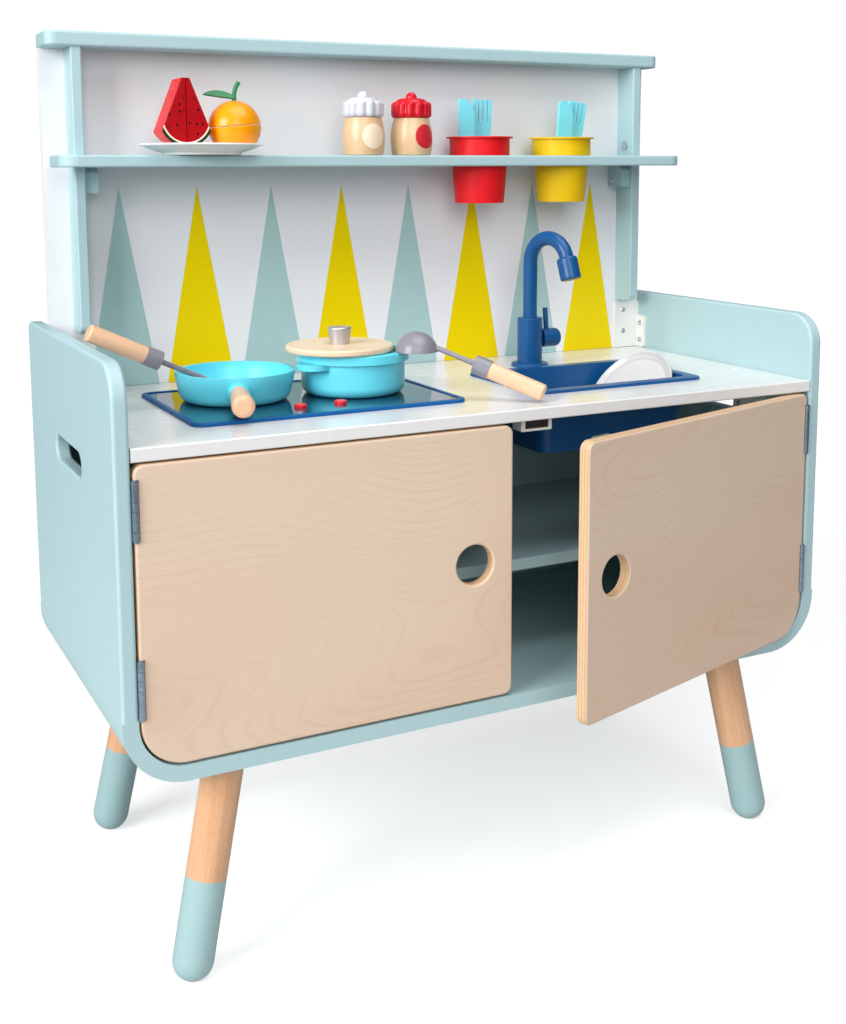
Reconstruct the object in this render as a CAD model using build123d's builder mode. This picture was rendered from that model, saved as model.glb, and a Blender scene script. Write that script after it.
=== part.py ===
from build123d import *
import math
import os

# Toy kitchen: a two-door cabinet on splayed legs, a worktop with hob, sink and tap, a printed
# backboard with an upper shelf, and the loose play set that stands on it.
# Millimetres. +X right, +Z up, the doors face -Y, the floor is Z = 0. The origin is the middle
# of the footprint with the right door standing open at its rest angle.

# ---------------------------------------------------------------- driving dimensions
WIDTH = 750.0                 # outside of the side panels
DEPTH = 345.0                 # side panel, front to back
SIDE_T = 14.0                 # side panels, corner mouldings and bottom panel
SIDE_TOP = 555.0              # top of the side panels
SIDE_FRONT_R = 32.0           # big top front corner
SIDE_REAR_R = 8.0
BOARD_EDGE_R = 3.0            # rounded painted edges
BOTTOM_Z = 195.0              # underside of the cabinet
MOULDING_R = 56.0             # outside radius of the lower corners
MOULDING_LIP = 5.0            # straight part above the curve
MOULDING_RUN = 65.0           # from the outside to the seam in the bottom panel

WORKTOP_TOP = 486.0
WORKTOP_T = 12.0
WORKTOP_GAP = 0.6             # each end, to the side panels
BACK_T = 5.0                  # cabinet back panel
BACK_INSET = 18.0             # its rear face, in from the back edge of the sides
SLOT_LENGTH = 106.0           # hand slot in each side panel
SLOT_HEIGHT = 23.0
SLOT_Z = 447.5

DOOR_T = 12.0
DOOR_SIDE_GAP = 1.7           # door edge to side panel
DOOR_MID_GAP = 3.6            # between the two doors
DOOR_TOP_GAP = 1.8
DOOR_BOTTOM_GAP = 2.0
DOOR_CORNER_R = 9.0
DOOR_EDGE_R = 2.6
DOOR_HOLE_R = 19.0            # finger hole
DOOR_HOLE_IN = 40.7           # its centre, in from the free edge
DOOR_HOLE_Z = 343.4
DOOR_OPEN_ANGLE = 16.0        # rest angle of the right door, degrees

HINGE_LENGTH = 51.0
HINGE_KNUCKLES = 6
HINGE_R = 3.0
HINGE_PIN_R = 1.25
HINGE_RUN = 0.05              # radial running clearance on the pin
HINGE_LEAF_T = 0.9
HINGE_LEAF_W = 12.0
HINGE_KNUCKLE_GAP = 0.25
HINGE_UPPER_Z = 434.0         # middle of the upper hinge
HINGE_LOWER_Z = 282.0

SHELF_T = 12.0                # inner shelf
SHELF_TOP = 321.0
SHELF_FRONT = 60.0            # its front edge, back from the cabinet front
SHELF_END_GAP = 0.5
PIN_R = 2.5                   # shelf pins
PIN_L = 18.0
PIN_HOLE = 8.0                # depth in the side panel
PIN_IN = 35.0                 # in from the front and the back of the shelf
EASED_R = 1.5                 # lightly rounded board edges

LEG_R = 18.5
LEG_TOP_X = 277.3             # leg axis where it meets the cabinet
LEG_TOP_IN = 34.2             # the same, in from the front and the back
LEG_FOOT_X = 314.4            # centre of the ball foot
LEG_FOOT_IN = 22.8
LEG_FLAT = 1.0                # flat ground on the ball foot
LEG_BOLT_R = 4.0
LEG_BOLT_DEPTH = 38.0
LEG_BOLT_BELOW = 4.0          # bolt end, below the top of the bottom panel

BACKBOARD_FRONT = 305.0       # its face, back from the cabinet front
BACKBOARD_T = 12.0
BACKBOARD_GAP = 0.5           # each end, to the side panels
BACKBOARD_TOP = 826.3
POST_W = 10.5
POST_D = 31.6
POST_IN = 23.7                # outside of a post, in from the end of the backboard
POST_FOOT = 547.0
TOP_BOARD_T = 14.5
TOP_BOARD_D = 34.5            # in front of the backboard
TOP_BOARD_R = 10.0
RACK_T = 11.5                 # upper shelf
RACK_Z = 710.5                # its underside
RACK_D = 85.0                 # in front of the backboard
RACK_SIDE_CLEAR = 0.3
RACK_R = 16.0
CLEAT_W = 13.0
CLEAT_H = 25.0
CLEAT_FRONT_IN = 4.0          # back from the front of the post
POST_BOLT_Z = 734.4
POST_BOLT_DEPTH = 7.5
POST_FOOT_R = 8.0             # rounded lower front of a post
BOLT_HEAD_RIM = 1.5           # head, wider than the shank all round
BOLT_HEAD_H = 2.0

SCREW_R = 1.7
SCREW_HEAD_R = 3.4
SCREW_HEAD_H = 1.5
SCREW_SHORT = 11.0            # in the brackets
SCREW_SHY = 2.0               # the long screws end this far inside the post
SCREW_EDGE = 9.0              # screw centre to the end of a bracket
BOARD_SCREW_UP = 21.0         # lower screw of the upper pair, above the worktop
BOARD_SCREW_IN = 13.0         # from the inner edge of the leaf
TOP_SCREWS_APART = 30.0
TOP_SCREW_IN = 8.0            # from the free edge of the leaf under the worktop
CLEAT_SCREW_IN = 8.0          # behind the middle of the post, above the cleat's foot
BRACKET_T = 2.6               # white plastic angle brackets
BRACKET_TALL = 56.0           # upper pair, leaf on the backboard
BRACKET_WIDE = 36.0
BRACKET_SIDE_W = 18.0         # upper pair, leaf on the side panel
BRACKET_SIDE_H = 39.0
TOP_BRACKET_LONG = 50.0       # pair under the worktop
TOP_BRACKET_DROP = 38.0
TOP_BRACKET_W = 22.0
TOP_BRACKET_Y = 92.0          # middle, back from the cabinet front
BRACKET_LIFT = 0.5            # upper pair, above the worktop
BRACKET_NOSE_R = 3.0
BRACKET_FOOT_R = 6.0

CATCH_W = 34.0                # magnetic catches
CATCH_H = 13.0
CATCH_D = 16.0
CATCH_IN = 32.0               # centre, from the middle of the cabinet
MAGNET_W = 25.0
MAGNET_H = 7.5
MAGNET_PROUD = 0.8
STRIKE_T = 0.9
CATCH_GAP = 0.7               # magnet to strike plate

HOB_X0, HOB_X1 = -290.0, -18.0
HOB_Y0, HOB_Y1 = 56.0, 240.0  # back from the cabinet front
HOB_R = 12.0
HOB_PROUD = 3.5
HOB_RIM_W = 5.0
HOB_GLASS_T = 1.8
HOB_GLASS_BELOW = 0.9         # glass face, below the rim
HOB_TRAY_DROP = 6.0
HOB_EDGE_R = 1.5
GLASS_CLEAR = 0.1             # glass in its rebate, each side
BUTTON_R = 6.0                # two red buttons on the glass
BUTTON_H = 3.2
BUTTON_EDGE_R = 1.6
BUTTONS = ((-176.0, 95.0), (-135.0, 96.0))
FLANGE_W = 10.0               # how far hob and sink flanges lap the worktop

SINK_X0, SINK_X1 = 60.0, 268.0
SINK_Y0, SINK_Y1 = 57.0, 205.0
SINK_R = 14.0
SINK_FLANGE_T = 3.0
SINK_EDGE_R = 1.4
SINK_WALL = 2.6
SINK_BOTTOM = 421.5
SINK_DRAFT = 7.0              # how much narrower each side is at the bottom
INSERT_CLEAR = 0.4            # hob tray and basin in their cut-outs

TAP_X, TAP_Y = 155.0, 226.8   # tap axis, Y back from the cabinet front
TAP_FLANGE_R = 21.0
TAP_FLANGE_H = 4.0
TAP_BODY_R = 14.2
TAP_BODY_TOP = 541.0
TAP_PIPE_R = 7.9
TAP_SPRING_Z = 603.4          # where the pipe starts to bend
TAP_BEND_R = 28.0
TAP_BEND_ANGLE = 163.0
TAP_HEADING = -76.0           # where the spout points, degrees from +X
TAP_SPIGOT_R = 5.0
TAP_SPIGOT_L = 18.0
TAP_CLEAR = 0.08
NOZZLE_R = 11.4
NOZZLE_SHOULDER = 3.2         # rounding of the nozzle's top and mouth
NOZZLE_LIP = 1.8
NOZZLE_L = 25.0
KNOB_Z = 517.0
KNOB_R = 10.5
KNOB_L = 23.0
KNOB_GAP = 0.3
KNOB_END_R = 5.0
LEVER_AT = 8.0                # lever's axis, out along the knob
LEVER_SLOPE = 0.12            # how far it leans back for its height
LEVER_R = 2.9
LEVER_L = 34.0

REST = 0.3                    # air under each loose piece
PAN_X, PAN_Y = -215.5, 165.0
PAN_R = 57.5
PAN_BASE_R = 50.0
PAN_H = 28.5
PAN_WALL = 3.5
HANDLE_R0, HANDLE_R1 = 8.6, 10.6
PAN_HANDLE_L = 62.0
PAN_HEADING = 254.5
POT_X, POT_Y = -97.0, 152.0
POT_R = 51.5
POT_RIM_R = 55.6
POT_RIM_H = 9.0
POT_H = 42.0
POT_WALL = 3.5
POT_LUG_HEADING = 201.0
POT_LUG_REACH = 52.0
POT_LUG_R = 17.0
POT_LUG_T = 6.0
POT_LUG_BELOW = 8.0
LID_X, LID_Y = -112.5, 149.0
LID_R = 53.0
LID_T = 6.5
LID_STEP_CLEAR = 1.2          # between the step and the pot's wall, where the lid is shifted
LID_STEP_H = 3.0
LID_KNOB_R = 11.8
LID_KNOB_H = 17.0
GRIP_R = 8.3                  # beech handles of spatula and ladle
GRIP_L = 57.0
COLLAR_R = 9.2
COLLAR_L = 16.0
STEM_R = 2.6

PLATE_R = 61.0
PLATE_H = 11.0
PLATE_FOOT_R = 38.0
PLATE_FLOOR = 7.4
PLATE_FLOOR_R = 52.0
RACK_PLATE_X, RACK_PLATE_Y = -219.0, 239.5
SINK_PLATE_R = 53.0
SINK_PLATE_X, SINK_PLATE_Y = 221.0, 127.0
SINK_PLATE_TILT = 51.0        # from lying flat
SINK_PLATE_HEADING = 189.0    # which way its face looks
SINK_PLATE_LIFT = 1.6         # its lowest rim, clear of the basin's floor

MELON_X, MELON_Y = -239.0, 238.0
MELON_D = 32.0
MELON_H = 66.0
MELON_HALF_W = 24.5
MELON_TOP_W = 4.0
MELON_CORNER_H = 15.0
MELON_SPLIT = 0.8
MELON_EDGE_R = 0.8
ORANGE_X, ORANGE_Y = -185.0, 238.0
ORANGE_R = 26.4
ORANGE_CUT = 19.4             # flat base, below the centre
ORANGE_TILT = 4.7
ORANGE_SPLIT_UP = 1.5         # cut between the halves, above the centre
ORANGE_SPLIT = 0.5
ORANGE_EDGE_R = 0.7
STEM_R_TOP = 2.2              # the orange's own stem
STEM_BORE_R = 2.3
LEAF_L = 31.0
LEAF_T = 1.8

SHAKER_Y = 247.0
SALT_X, PEPPER_X = -40.0, 16.5
SHAKER_R = 22.6
SHAKER_FOOT_R = 20.5
SHAKER_NECK_R = 18.9
SHAKER_H = 39.0
CAP_R = 21.0
CAP_H = 21.0
CAP_LOBE_R = 4.8               # the rounded flutes of the cap
CAP_LOBE_RING = 16.9
CAP_LOBE_H = 17.5
CAP_LOBES = 12
CAP_KNOB_R = 6.2

CUP_Y = 260.0
CUP_XS = {"red": 108.0, "yellow": 216.0}
CUP_FLANGE_R = 37.3
CUP_COLLAR_R = 33.5
CUP_COLLAR_H = 20.5
CUP_NECK_R = 31.5
CUP_FOOT_R = 27.2
CUP_DROP = 52.0
CUP_WALL = 1.8
CUP_HOLE_CLEAR = 0.8
CUTLERY_Y = 262.0
CUTLERY_T = 3.6
CUTLERY_TOP = 784.0
KNIFE_W = 18.5
FORK_W = 23.0
FORK_SLOT_L = 50.0            # between the tines, half of it past their tips
FORK_SLOT_W = 2.7
CUTLERY_HEAD = 41.0
CUTLERY_HANDLE_W = 10.0

# ---------------------------------------------------------------- places that follow
HALF_W = WIDTH / 2
INNER_X = HALF_W - SIDE_T
HINGE_X = INNER_X - HINGE_R
DOOR_OUT_X = INNER_X - DOOR_SIDE_GAP
DOOR_LENGTH = HINGE_X - DOOR_MID_GAP / 2
DOOR_REACH = (DOOR_LENGTH - DOOR_EDGE_R) * math.sin(math.radians(DOOR_OPEN_ANGLE)) \
    + DOOR_EDGE_R * (1 - math.cos(math.radians(DOOR_OPEN_ANGLE)))
FRONT = (DOOR_REACH - DEPTH) / 2
BACK = FRONT + DEPTH
BOTTOM_TOP = BOTTOM_Z + SIDE_T
SIDE_FOOT = BOTTOM_Z + MOULDING_R + MOULDING_LIP
SEAM_X = HALF_W - MOULDING_RUN
WORKTOP_Z = WORKTOP_TOP - WORKTOP_T
WORKTOP_BACK = BACK - BACK_INSET
BOARD_Y = FRONT + BACKBOARD_FRONT
BOARD_HALF = INNER_X - BACKBOARD_GAP
POST_X = BOARD_HALF - POST_IN - POST_W / 2
POST_INNER = POST_X - POST_W / 2
RACK_TOP = RACK_Z + RACK_T
DOOR_Z0 = BOTTOM_TOP + DOOR_BOTTOM_GAP
DOOR_Z1 = WORKTOP_Z - DOOR_TOP_GAP
HOB_TOP = WORKTOP_TOP + HOB_PROUD
GLASS_TOP = HOB_TOP - HOB_GLASS_BELOW
COOK_Z = GLASS_TOP + REST
MIN_ALIGN = (Align.CENTER, Align.CENTER, Align.MIN)
LOW_FRONT = (Align.CENTER, Align.MIN, Align.MIN)
SIDES = {"left": -1, "right": 1}


def save(part, name):
    part.label = name
    export_step(part, f"parts/{name}.step")


def bore(planes, radius, depth):
    """Cut a round hole into the part being built, down each plane's -Z."""
    with Locations(*planes):
        Cylinder(radius, depth, align=(Align.CENTER, Align.CENTER, Align.MAX), mode=Mode.SUBTRACT)


def heading(degrees):
    return Vector(math.cos(math.radians(degrees)), math.sin(math.radians(degrees)), 0)


def to_back(distance):
    """Y of a plane that lies this far behind the cabinet front."""
    return FRONT + distance


os.makedirs("parts", exist_ok=True)

# ---------------------------------------------------------------- screws and their planes
# Each plane lies on the face under a screw head and looks out of the material.
screw_planes = []
SIDE_SCREW_Z = (WORKTOP_TOP + SCREW_EDGE, WORKTOP_TOP + BRACKET_SIDE_H - SCREW_EDGE)
BOARD_SCREW_Z = (WORKTOP_TOP + BOARD_SCREW_UP, WORKTOP_TOP + BRACKET_TALL - SCREW_EDGE)
board_screws = []
side_screws = {"left": [], "right": []}
cleat_screws = {"left": [], "right": []}
top_screws = []
for side, s in SIDES.items():
    for z in BOARD_SCREW_Z:
        x = s * (BOARD_HALF - BRACKET_WIDE + BOARD_SCREW_IN)
        board_screws.append(Plane((x, BOARD_Y - BRACKET_T, z), x_dir=(1, 0, 0), z_dir=(0, -1, 0)))
    for z in SIDE_SCREW_Z:
        y = BOARD_Y - BRACKET_SIDE_W / 2
        side_screws[side].append(Plane((s * (INNER_X - BRACKET_T), y, z), x_dir=(0, 1, 0), z_dir=(-s, 0, 0)))
    for dy in (-TOP_SCREWS_APART / 2, TOP_SCREWS_APART / 2):
        y = to_back(TOP_BRACKET_Y) + dy
        z = WORKTOP_Z - TOP_BRACKET_DROP + SCREW_EDGE
        side_screws[side].append(Plane((s * (INNER_X - BRACKET_T), y, z), x_dir=(0, 1, 0), z_dir=(-s, 0, 0)))
        x = s * (INNER_X - TOP_BRACKET_W + TOP_SCREW_IN)
        top_screws.append(Plane((x, y, WORKTOP_Z - BRACKET_T), x_dir=(1, 0, 0), z_dir=(0, 0, -1)))
    y = BOARD_Y - POST_D / 2 + CLEAT_SCREW_IN
    z = RACK_Z - CLEAT_H + CLEAT_SCREW_IN
    cleat_screws[side].append(Plane((s * (POST_INNER - CLEAT_W), y, z), x_dir=(0, 1, 0), z_dir=(-s, 0, 0)))
SCREW_LONG = CLEAT_W + POST_W - SCREW_SHY


def add_screws(planes, length):
    with Locations(*planes):
        Cylinder(SCREW_R, length, align=(Align.CENTER, Align.CENTER, Align.MAX))
        Cone(SCREW_HEAD_R, SCREW_HEAD_R * 0.6, SCREW_HEAD_H, align=MIN_ALIGN)


# ---------------------------------------------------------------- side panels
shelf_back = DEPTH - BACK_INSET - BACK_T
pin_ys = (to_back(SHELF_FRONT + PIN_IN), to_back(shelf_back - PIN_IN))
PIN_Z = SHELF_TOP - SHELF_T - PIN_R

for side, s in SIDES.items():
    with BuildPart() as side_panel:
        with BuildSketch(Plane.YZ.offset(s * HALF_W)) as outline:
            with BuildLine():
                Polyline((FRONT, SIDE_FOOT), (BACK, SIDE_FOOT), (BACK, SIDE_TOP), (FRONT, SIDE_TOP), close=True)
            make_face()
            fillet(outline.vertices().group_by(Axis.X)[0].sort_by(Axis.Y)[-1], SIDE_FRONT_R)
            fillet(outline.vertices().group_by(Axis.X)[-1].sort_by(Axis.Y)[-1], SIDE_REAR_R)
            with Locations(((FRONT + BACK) / 2, SLOT_Z)):
                SlotOverall(SLOT_LENGTH, SLOT_HEIGHT, mode=Mode.SUBTRACT)
        extrude(amount=-s * SIDE_T)
        edges_out = side_panel.edges().filter_by(lambda e: abs(e.center().X) > INNER_X - 1e-3)
        shaped = edges_out.filter_by(lambda e: e.center().Z > SIDE_FOOT + 1 and e.center().Y < BACK - 0.1)
        fillet(shaped.filter_by(lambda e: abs(abs(e.center().X) - HALF_W) < 1e-3
                                or abs(abs(e.center().X) - INNER_X) < 1e-3), BOARD_EDGE_R)
        bore(side_screws[side], SCREW_R, SCREW_SHORT)
        bore([Plane((s * INNER_X, y, PIN_Z), z_dir=(-s, 0, 0)) for y in pin_ys], PIN_R, PIN_HOLE)
    save(side_panel.part, f"side_panel_{side}")

# Curved lower corners, one solid wood moulding each side.
with BuildPart() as corner_mouldings:
    with BuildSketch(Plane.XZ.offset(-BACK)) as profile:
        with BuildLine():
            l1 = Line((HALF_W, SIDE_FOOT), (HALF_W, BOTTOM_Z + MOULDING_R))
            a1 = RadiusArc(l1 @ 1, (HALF_W - MOULDING_R, BOTTOM_Z), MOULDING_R)
            l2 = Line(a1 @ 1, (SEAM_X, BOTTOM_Z))
            l3 = Line(l2 @ 1, (SEAM_X, BOTTOM_TOP))
            l4 = Line(l3 @ 1, (HALF_W - MOULDING_R, BOTTOM_TOP))
            a2 = RadiusArc(l4 @ 1, (INNER_X, BOTTOM_Z + MOULDING_R), -(MOULDING_R - SIDE_T))
            l5 = Line(a2 @ 1, (INNER_X, SIDE_FOOT))
            Line(l5 @ 1, l1 @ 0)
        make_face()
    extrude(amount=DEPTH)
    mirror(about=Plane.YZ)
save(corner_mouldings.part, "corner_mouldings")

# ---------------------------------------------------------------- legs
leg_axes = {}
for name, sy in (("front", -1), ("rear", 1)):
    for side, s in SIDES.items():
        edge = FRONT if sy < 0 else BACK
        top = Vector(s * LEG_TOP_X, edge - sy * LEG_TOP_IN, BOTTOM_Z)
        foot = Vector(s * LEG_FOOT_X, edge - sy * LEG_FOOT_IN, LEG_R - LEG_FLAT)
        leg_axes[name, side] = (top, foot)
bolt_planes = [Plane(top + (top - foot).normalized() * (SIDE_T - LEG_BOLT_BELOW), z_dir=top - foot)
               for top, foot in leg_axes.values()]
LEG_BOLT_L = LEG_BOLT_DEPTH + SIDE_T - LEG_BOLT_BELOW

with BuildPart() as bottom_panel:
    with Locations((0, FRONT, BOTTOM_Z)):
        Box(2 * SEAM_X, DEPTH, SIDE_T, align=LOW_FRONT)
    bore(bolt_planes, LEG_BOLT_R, LEG_BOLT_L)
save(bottom_panel.part, "bottom_panel")

for row in ("front", "rear"):
    with BuildPart() as legs:
        for side in SIDES:
            top, foot = leg_axes[row, side]
            axis = (top - foot).normalized()
            with Locations(Plane(foot, z_dir=axis)):
                Cylinder(LEG_R, (top - foot).length + LEG_R, align=MIN_ALIGN)
                Sphere(LEG_R)
        split(bisect_by=Plane.XY.offset(BOTTOM_Z), keep=Keep.BOTTOM)
        split(bisect_by=Plane.XY, keep=Keep.TOP)
        bore(bolt_planes, LEG_BOLT_R, LEG_BOLT_L)
    save(legs.part, f"legs_{row}")

# ---------------------------------------------------------------- cabinet inside
with BuildPart() as cabinet_back_panel:
    with BuildSketch(Plane.XZ.offset(-(WORKTOP_BACK - BACK_T))):
        with Locations((0, (BOTTOM_TOP + WORKTOP_Z) / 2)):
            Rectangle(2 * INNER_X, WORKTOP_Z - BOTTOM_TOP)
        fillet(vertices().group_by(Axis.Y)[0], MOULDING_R - SIDE_T)
    extrude(amount=-BACK_T)
save(cabinet_back_panel.part, "cabinet_back_panel")

with BuildPart() as inner_shelf:
    with Locations((0, to_back(SHELF_FRONT), SHELF_TOP - SHELF_T)):
        Box(2 * (INNER_X - SHELF_END_GAP), shelf_back - SHELF_FRONT, SHELF_T, align=LOW_FRONT)
    fillet(inner_shelf.edges().filter_by(Axis.X).group_by(Axis.Y)[0], EASED_R)
save(inner_shelf.part, "inner_shelf")

with BuildPart() as shelf_pins:
    for s in SIDES.values():
        with Locations(*[Plane((s * (INNER_X + PIN_HOLE), y, PIN_Z), z_dir=(-s, 0, 0)) for y in pin_ys]):
            Cylinder(PIN_R, PIN_L, align=MIN_ALIGN)
save(shelf_pins.part, "shelf_pins")

# ---------------------------------------------------------------- worktop, hob and sink
hob_cx, hob_cy = (HOB_X0 + HOB_X1) / 2, to_back((HOB_Y0 + HOB_Y1) / 2)
hob_w, hob_d = HOB_X1 - HOB_X0, HOB_Y1 - HOB_Y0
sink_cx, sink_cy = (SINK_X0 + SINK_X1) / 2, to_back((SINK_Y0 + SINK_Y1) / 2)
sink_w, sink_d = SINK_X1 - SINK_X0, SINK_Y1 - SINK_Y0
tap_y = to_back(TAP_Y)

with BuildPart() as worktop:
    with Locations((0, FRONT, WORKTOP_Z)):
        Box(2 * (INNER_X - WORKTOP_GAP), WORKTOP_BACK - FRONT, WORKTOP_T, align=LOW_FRONT)
    fillet(worktop.edges().filter_by(Axis.X).group_by(Axis.Y)[0], EASED_R)
    with BuildSketch(Plane.XY.offset(WORKTOP_TOP)):
        with Locations((hob_cx, hob_cy)):
            RectangleRounded(hob_w - 2 * FLANGE_W, hob_d - 2 * FLANGE_W, HOB_R)
        with Locations((sink_cx, sink_cy)):
            RectangleRounded(sink_w - 2 * FLANGE_W, sink_d - 2 * FLANGE_W, SINK_R)
    extrude(amount=-WORKTOP_T, mode=Mode.SUBTRACT)
    bore([Plane((TAP_X, tap_y, WORKTOP_TOP))], TAP_SPIGOT_R, WORKTOP_T)
    bore(top_screws, SCREW_R, SCREW_SHORT)
save(worktop.part, "worktop")

with BuildPart() as hob_tray:
    with BuildSketch(Plane.XY.offset(WORKTOP_TOP)):
        with Locations((hob_cx, hob_cy)):
            RectangleRounded(hob_w, hob_d, HOB_R)
    extrude(amount=HOB_PROUD)
    fillet(hob_tray.edges().group_by(Axis.Z)[-1], HOB_EDGE_R)
    with BuildSketch(Plane.XY.offset(WORKTOP_TOP)):
        with Locations((hob_cx, hob_cy)):
            inset = 2 * (FLANGE_W + INSERT_CLEAR)
            RectangleRounded(hob_w - inset, hob_d - inset, HOB_R)
    extrude(amount=-HOB_TRAY_DROP)
    with BuildSketch(Plane.XY.offset(HOB_TOP)):
        with Locations((hob_cx, hob_cy)):
            RectangleRounded(hob_w - 2 * HOB_RIM_W, hob_d - 2 * HOB_RIM_W, HOB_R - HOB_RIM_W / 2)
    extrude(amount=-(HOB_GLASS_BELOW + HOB_GLASS_T), mode=Mode.SUBTRACT)
save(hob_tray.part, "hob_tray")

with BuildPart() as hob_glass:
    with BuildSketch(Plane.XY.offset(GLASS_TOP - HOB_GLASS_T)):
        with Locations((hob_cx, hob_cy)):
            rim = 2 * (HOB_RIM_W + GLASS_CLEAR)
            RectangleRounded(hob_w - rim, hob_d - rim, HOB_R - HOB_RIM_W / 2)
    extrude(amount=HOB_GLASS_T)
save(hob_glass.part, "hob_glass")

with BuildPart() as hob_buttons:
    for x, y in BUTTONS:
        with Locations((x, to_back(y), GLASS_TOP)):
            Cylinder(BUTTON_R, BUTTON_H, align=MIN_ALIGN)
    fillet(hob_buttons.edges().group_by(Axis.Z)[-1], BUTTON_EDGE_R)
save(hob_buttons.part, "hob_buttons")

basin_w, basin_d = sink_w - 2 * (FLANGE_W + INSERT_CLEAR), sink_d - 2 * (FLANGE_W + INSERT_CLEAR)
with BuildPart() as sink_basin:
    for shell, floor, op in ((0.0, SINK_BOTTOM, Mode.ADD), (SINK_WALL, SINK_BOTTOM + SINK_WALL, Mode.SUBTRACT)):
        if op == Mode.ADD:
            with BuildSketch(Plane.XY.offset(WORKTOP_TOP)):
                with Locations((sink_cx, sink_cy)):
                    RectangleRounded(sink_w, sink_d, SINK_R)
            extrude(amount=SINK_FLANGE_T)
            fillet(sink_basin.edges().group_by(Axis.Z)[-1], SINK_EDGE_R)
        with BuildSketch(Plane.XY.offset(WORKTOP_TOP + SINK_FLANGE_T)) as mouth:
            with Locations((sink_cx, sink_cy)):
                RectangleRounded(basin_w - 2 * shell, basin_d - 2 * shell, SINK_R - shell)
        with BuildSketch(Plane.XY.offset(floor)) as base:
            with Locations((sink_cx, sink_cy)):
                narrow = 2 * (shell + SINK_DRAFT)
                RectangleRounded(basin_w - narrow, basin_d - narrow, SINK_R - shell)
        loft(sections=[mouth.sketch.face(), base.sketch.face()], mode=op)
save(sink_basin.part, "sink_basin")

# ---------------------------------------------------------------- tap
with BuildPart() as tap_base:
    with Locations((TAP_X, tap_y, WORKTOP_TOP)):
        Cylinder(TAP_FLANGE_R, TAP_FLANGE_H, align=MIN_ALIGN)
    fillet(tap_base.edges().group_by(Axis.Z)[-1], 2.0)
    with Locations((TAP_X, tap_y, WORKTOP_TOP)):
        Cylinder(TAP_BODY_R, TAP_BODY_TOP - WORKTOP_TOP, align=MIN_ALIGN)
        Cylinder(TAP_SPIGOT_R, WORKTOP_T, align=(Align.CENTER, Align.CENTER, Align.MAX))
    fillet(tap_base.edges().group_by(Axis.Z)[-1], 1.2)
    bore([Plane((TAP_X, tap_y, TAP_BODY_TOP))], TAP_SPIGOT_R + TAP_CLEAR, TAP_SPIGOT_L)
    knob_seat = Plane((TAP_X + TAP_BODY_R, tap_y, KNOB_Z), z_dir=(1, 0, 0))
    bore([knob_seat], LEVER_R + TAP_CLEAR, TAP_BODY_R - TAP_SPIGOT_R)
save(tap_base.part, "tap_base")

out = heading(TAP_HEADING)
bend_centre = Vector(TAP_X, tap_y, TAP_SPRING_Z) + out * TAP_BEND_R
bend_plane = Plane((TAP_X, tap_y, TAP_BODY_TOP), x_dir=out, z_dir=out.cross(Vector(0, 0, 1)))
rise = TAP_SPRING_Z - TAP_BODY_TOP
with BuildPart() as tap_spout:
    with BuildLine(bend_plane) as spine:
        riser = Line((0, 0), (0, rise))
        bend = CenterArc((TAP_BEND_R, rise), TAP_BEND_R, 180, -TAP_BEND_ANGLE)
        tail = Line(bend @ 1, bend @ 1 + (bend % 1) * (NOZZLE_L * 0.8))
    with BuildSketch(Plane((TAP_X, tap_y, TAP_BODY_TOP))):
        Circle(TAP_PIPE_R)
    sweep(path=spine.wires()[0])
    nozzle_plane = Plane(bend @ 1, z_dir=bend % 1)
    with Locations(nozzle_plane):
        Cylinder(NOZZLE_R, NOZZLE_L, align=MIN_ALIGN)
    nozzle_rims = tap_spout.edges().filter_by(GeomType.CIRCLE).filter_by(lambda e: abs(e.radius - NOZZLE_R) < 0.01)
    mouth, shoulder = nozzle_rims.sort_by(Axis.Z)[0], nozzle_rims.sort_by(Axis.Z)[-1]
    fillet(shoulder, NOZZLE_SHOULDER)
    fillet(mouth, NOZZLE_LIP)
    with Locations((TAP_X, tap_y, TAP_BODY_TOP)):
        Cylinder(TAP_SPIGOT_R, TAP_SPIGOT_L - 1.0, align=(Align.CENTER, Align.CENTER, Align.MAX))
save(tap_spout.part, "tap_spout")

knob_x = TAP_X + TAP_BODY_R + KNOB_GAP
with BuildPart() as tap_handle:
    with Locations(Plane((knob_x, tap_y, KNOB_Z), z_dir=(1, 0, 0))):
        Cylinder(KNOB_R, KNOB_L, align=MIN_ALIGN)
    fillet(tap_handle.edges().group_by(Axis.X)[-1], KNOB_END_R)
    fillet(tap_handle.edges().group_by(Axis.X)[0], 1.0)
    with Locations(Plane((knob_x, tap_y, KNOB_Z), z_dir=(-1, 0, 0))):
        Cylinder(LEVER_R, KNOB_GAP + TAP_BODY_R - TAP_SPIGOT_R - 1.0, align=MIN_ALIGN)
    with Locations(Plane((knob_x + LEVER_AT, tap_y, KNOB_Z), z_dir=(0, LEVER_SLOPE, 1))):
        Cylinder(LEVER_R, LEVER_L, align=MIN_ALIGN)
save(tap_handle.part, "tap_handle")

# ---------------------------------------------------------------- backboard, posts, shelf and top
bolt_y = BOARD_Y - POST_D / 2
post_bolt_planes = [Plane((s * POST_INNER, bolt_y, POST_BOLT_Z), z_dir=(-s, 0, 0)) for s in SIDES.values()]

with BuildPart() as backboard:
    with Locations((0, BOARD_Y, WORKTOP_TOP)):
        Box(2 * BOARD_HALF, BACKBOARD_T, BACKBOARD_TOP - WORKTOP_TOP, align=LOW_FRONT)
    fillet(backboard.edges().filter_by(Axis.X).group_by(Axis.Z)[0], 1.0)
    bore(board_screws, SCREW_R, SCREW_SHORT)
save(backboard.part, "backboard")

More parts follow.
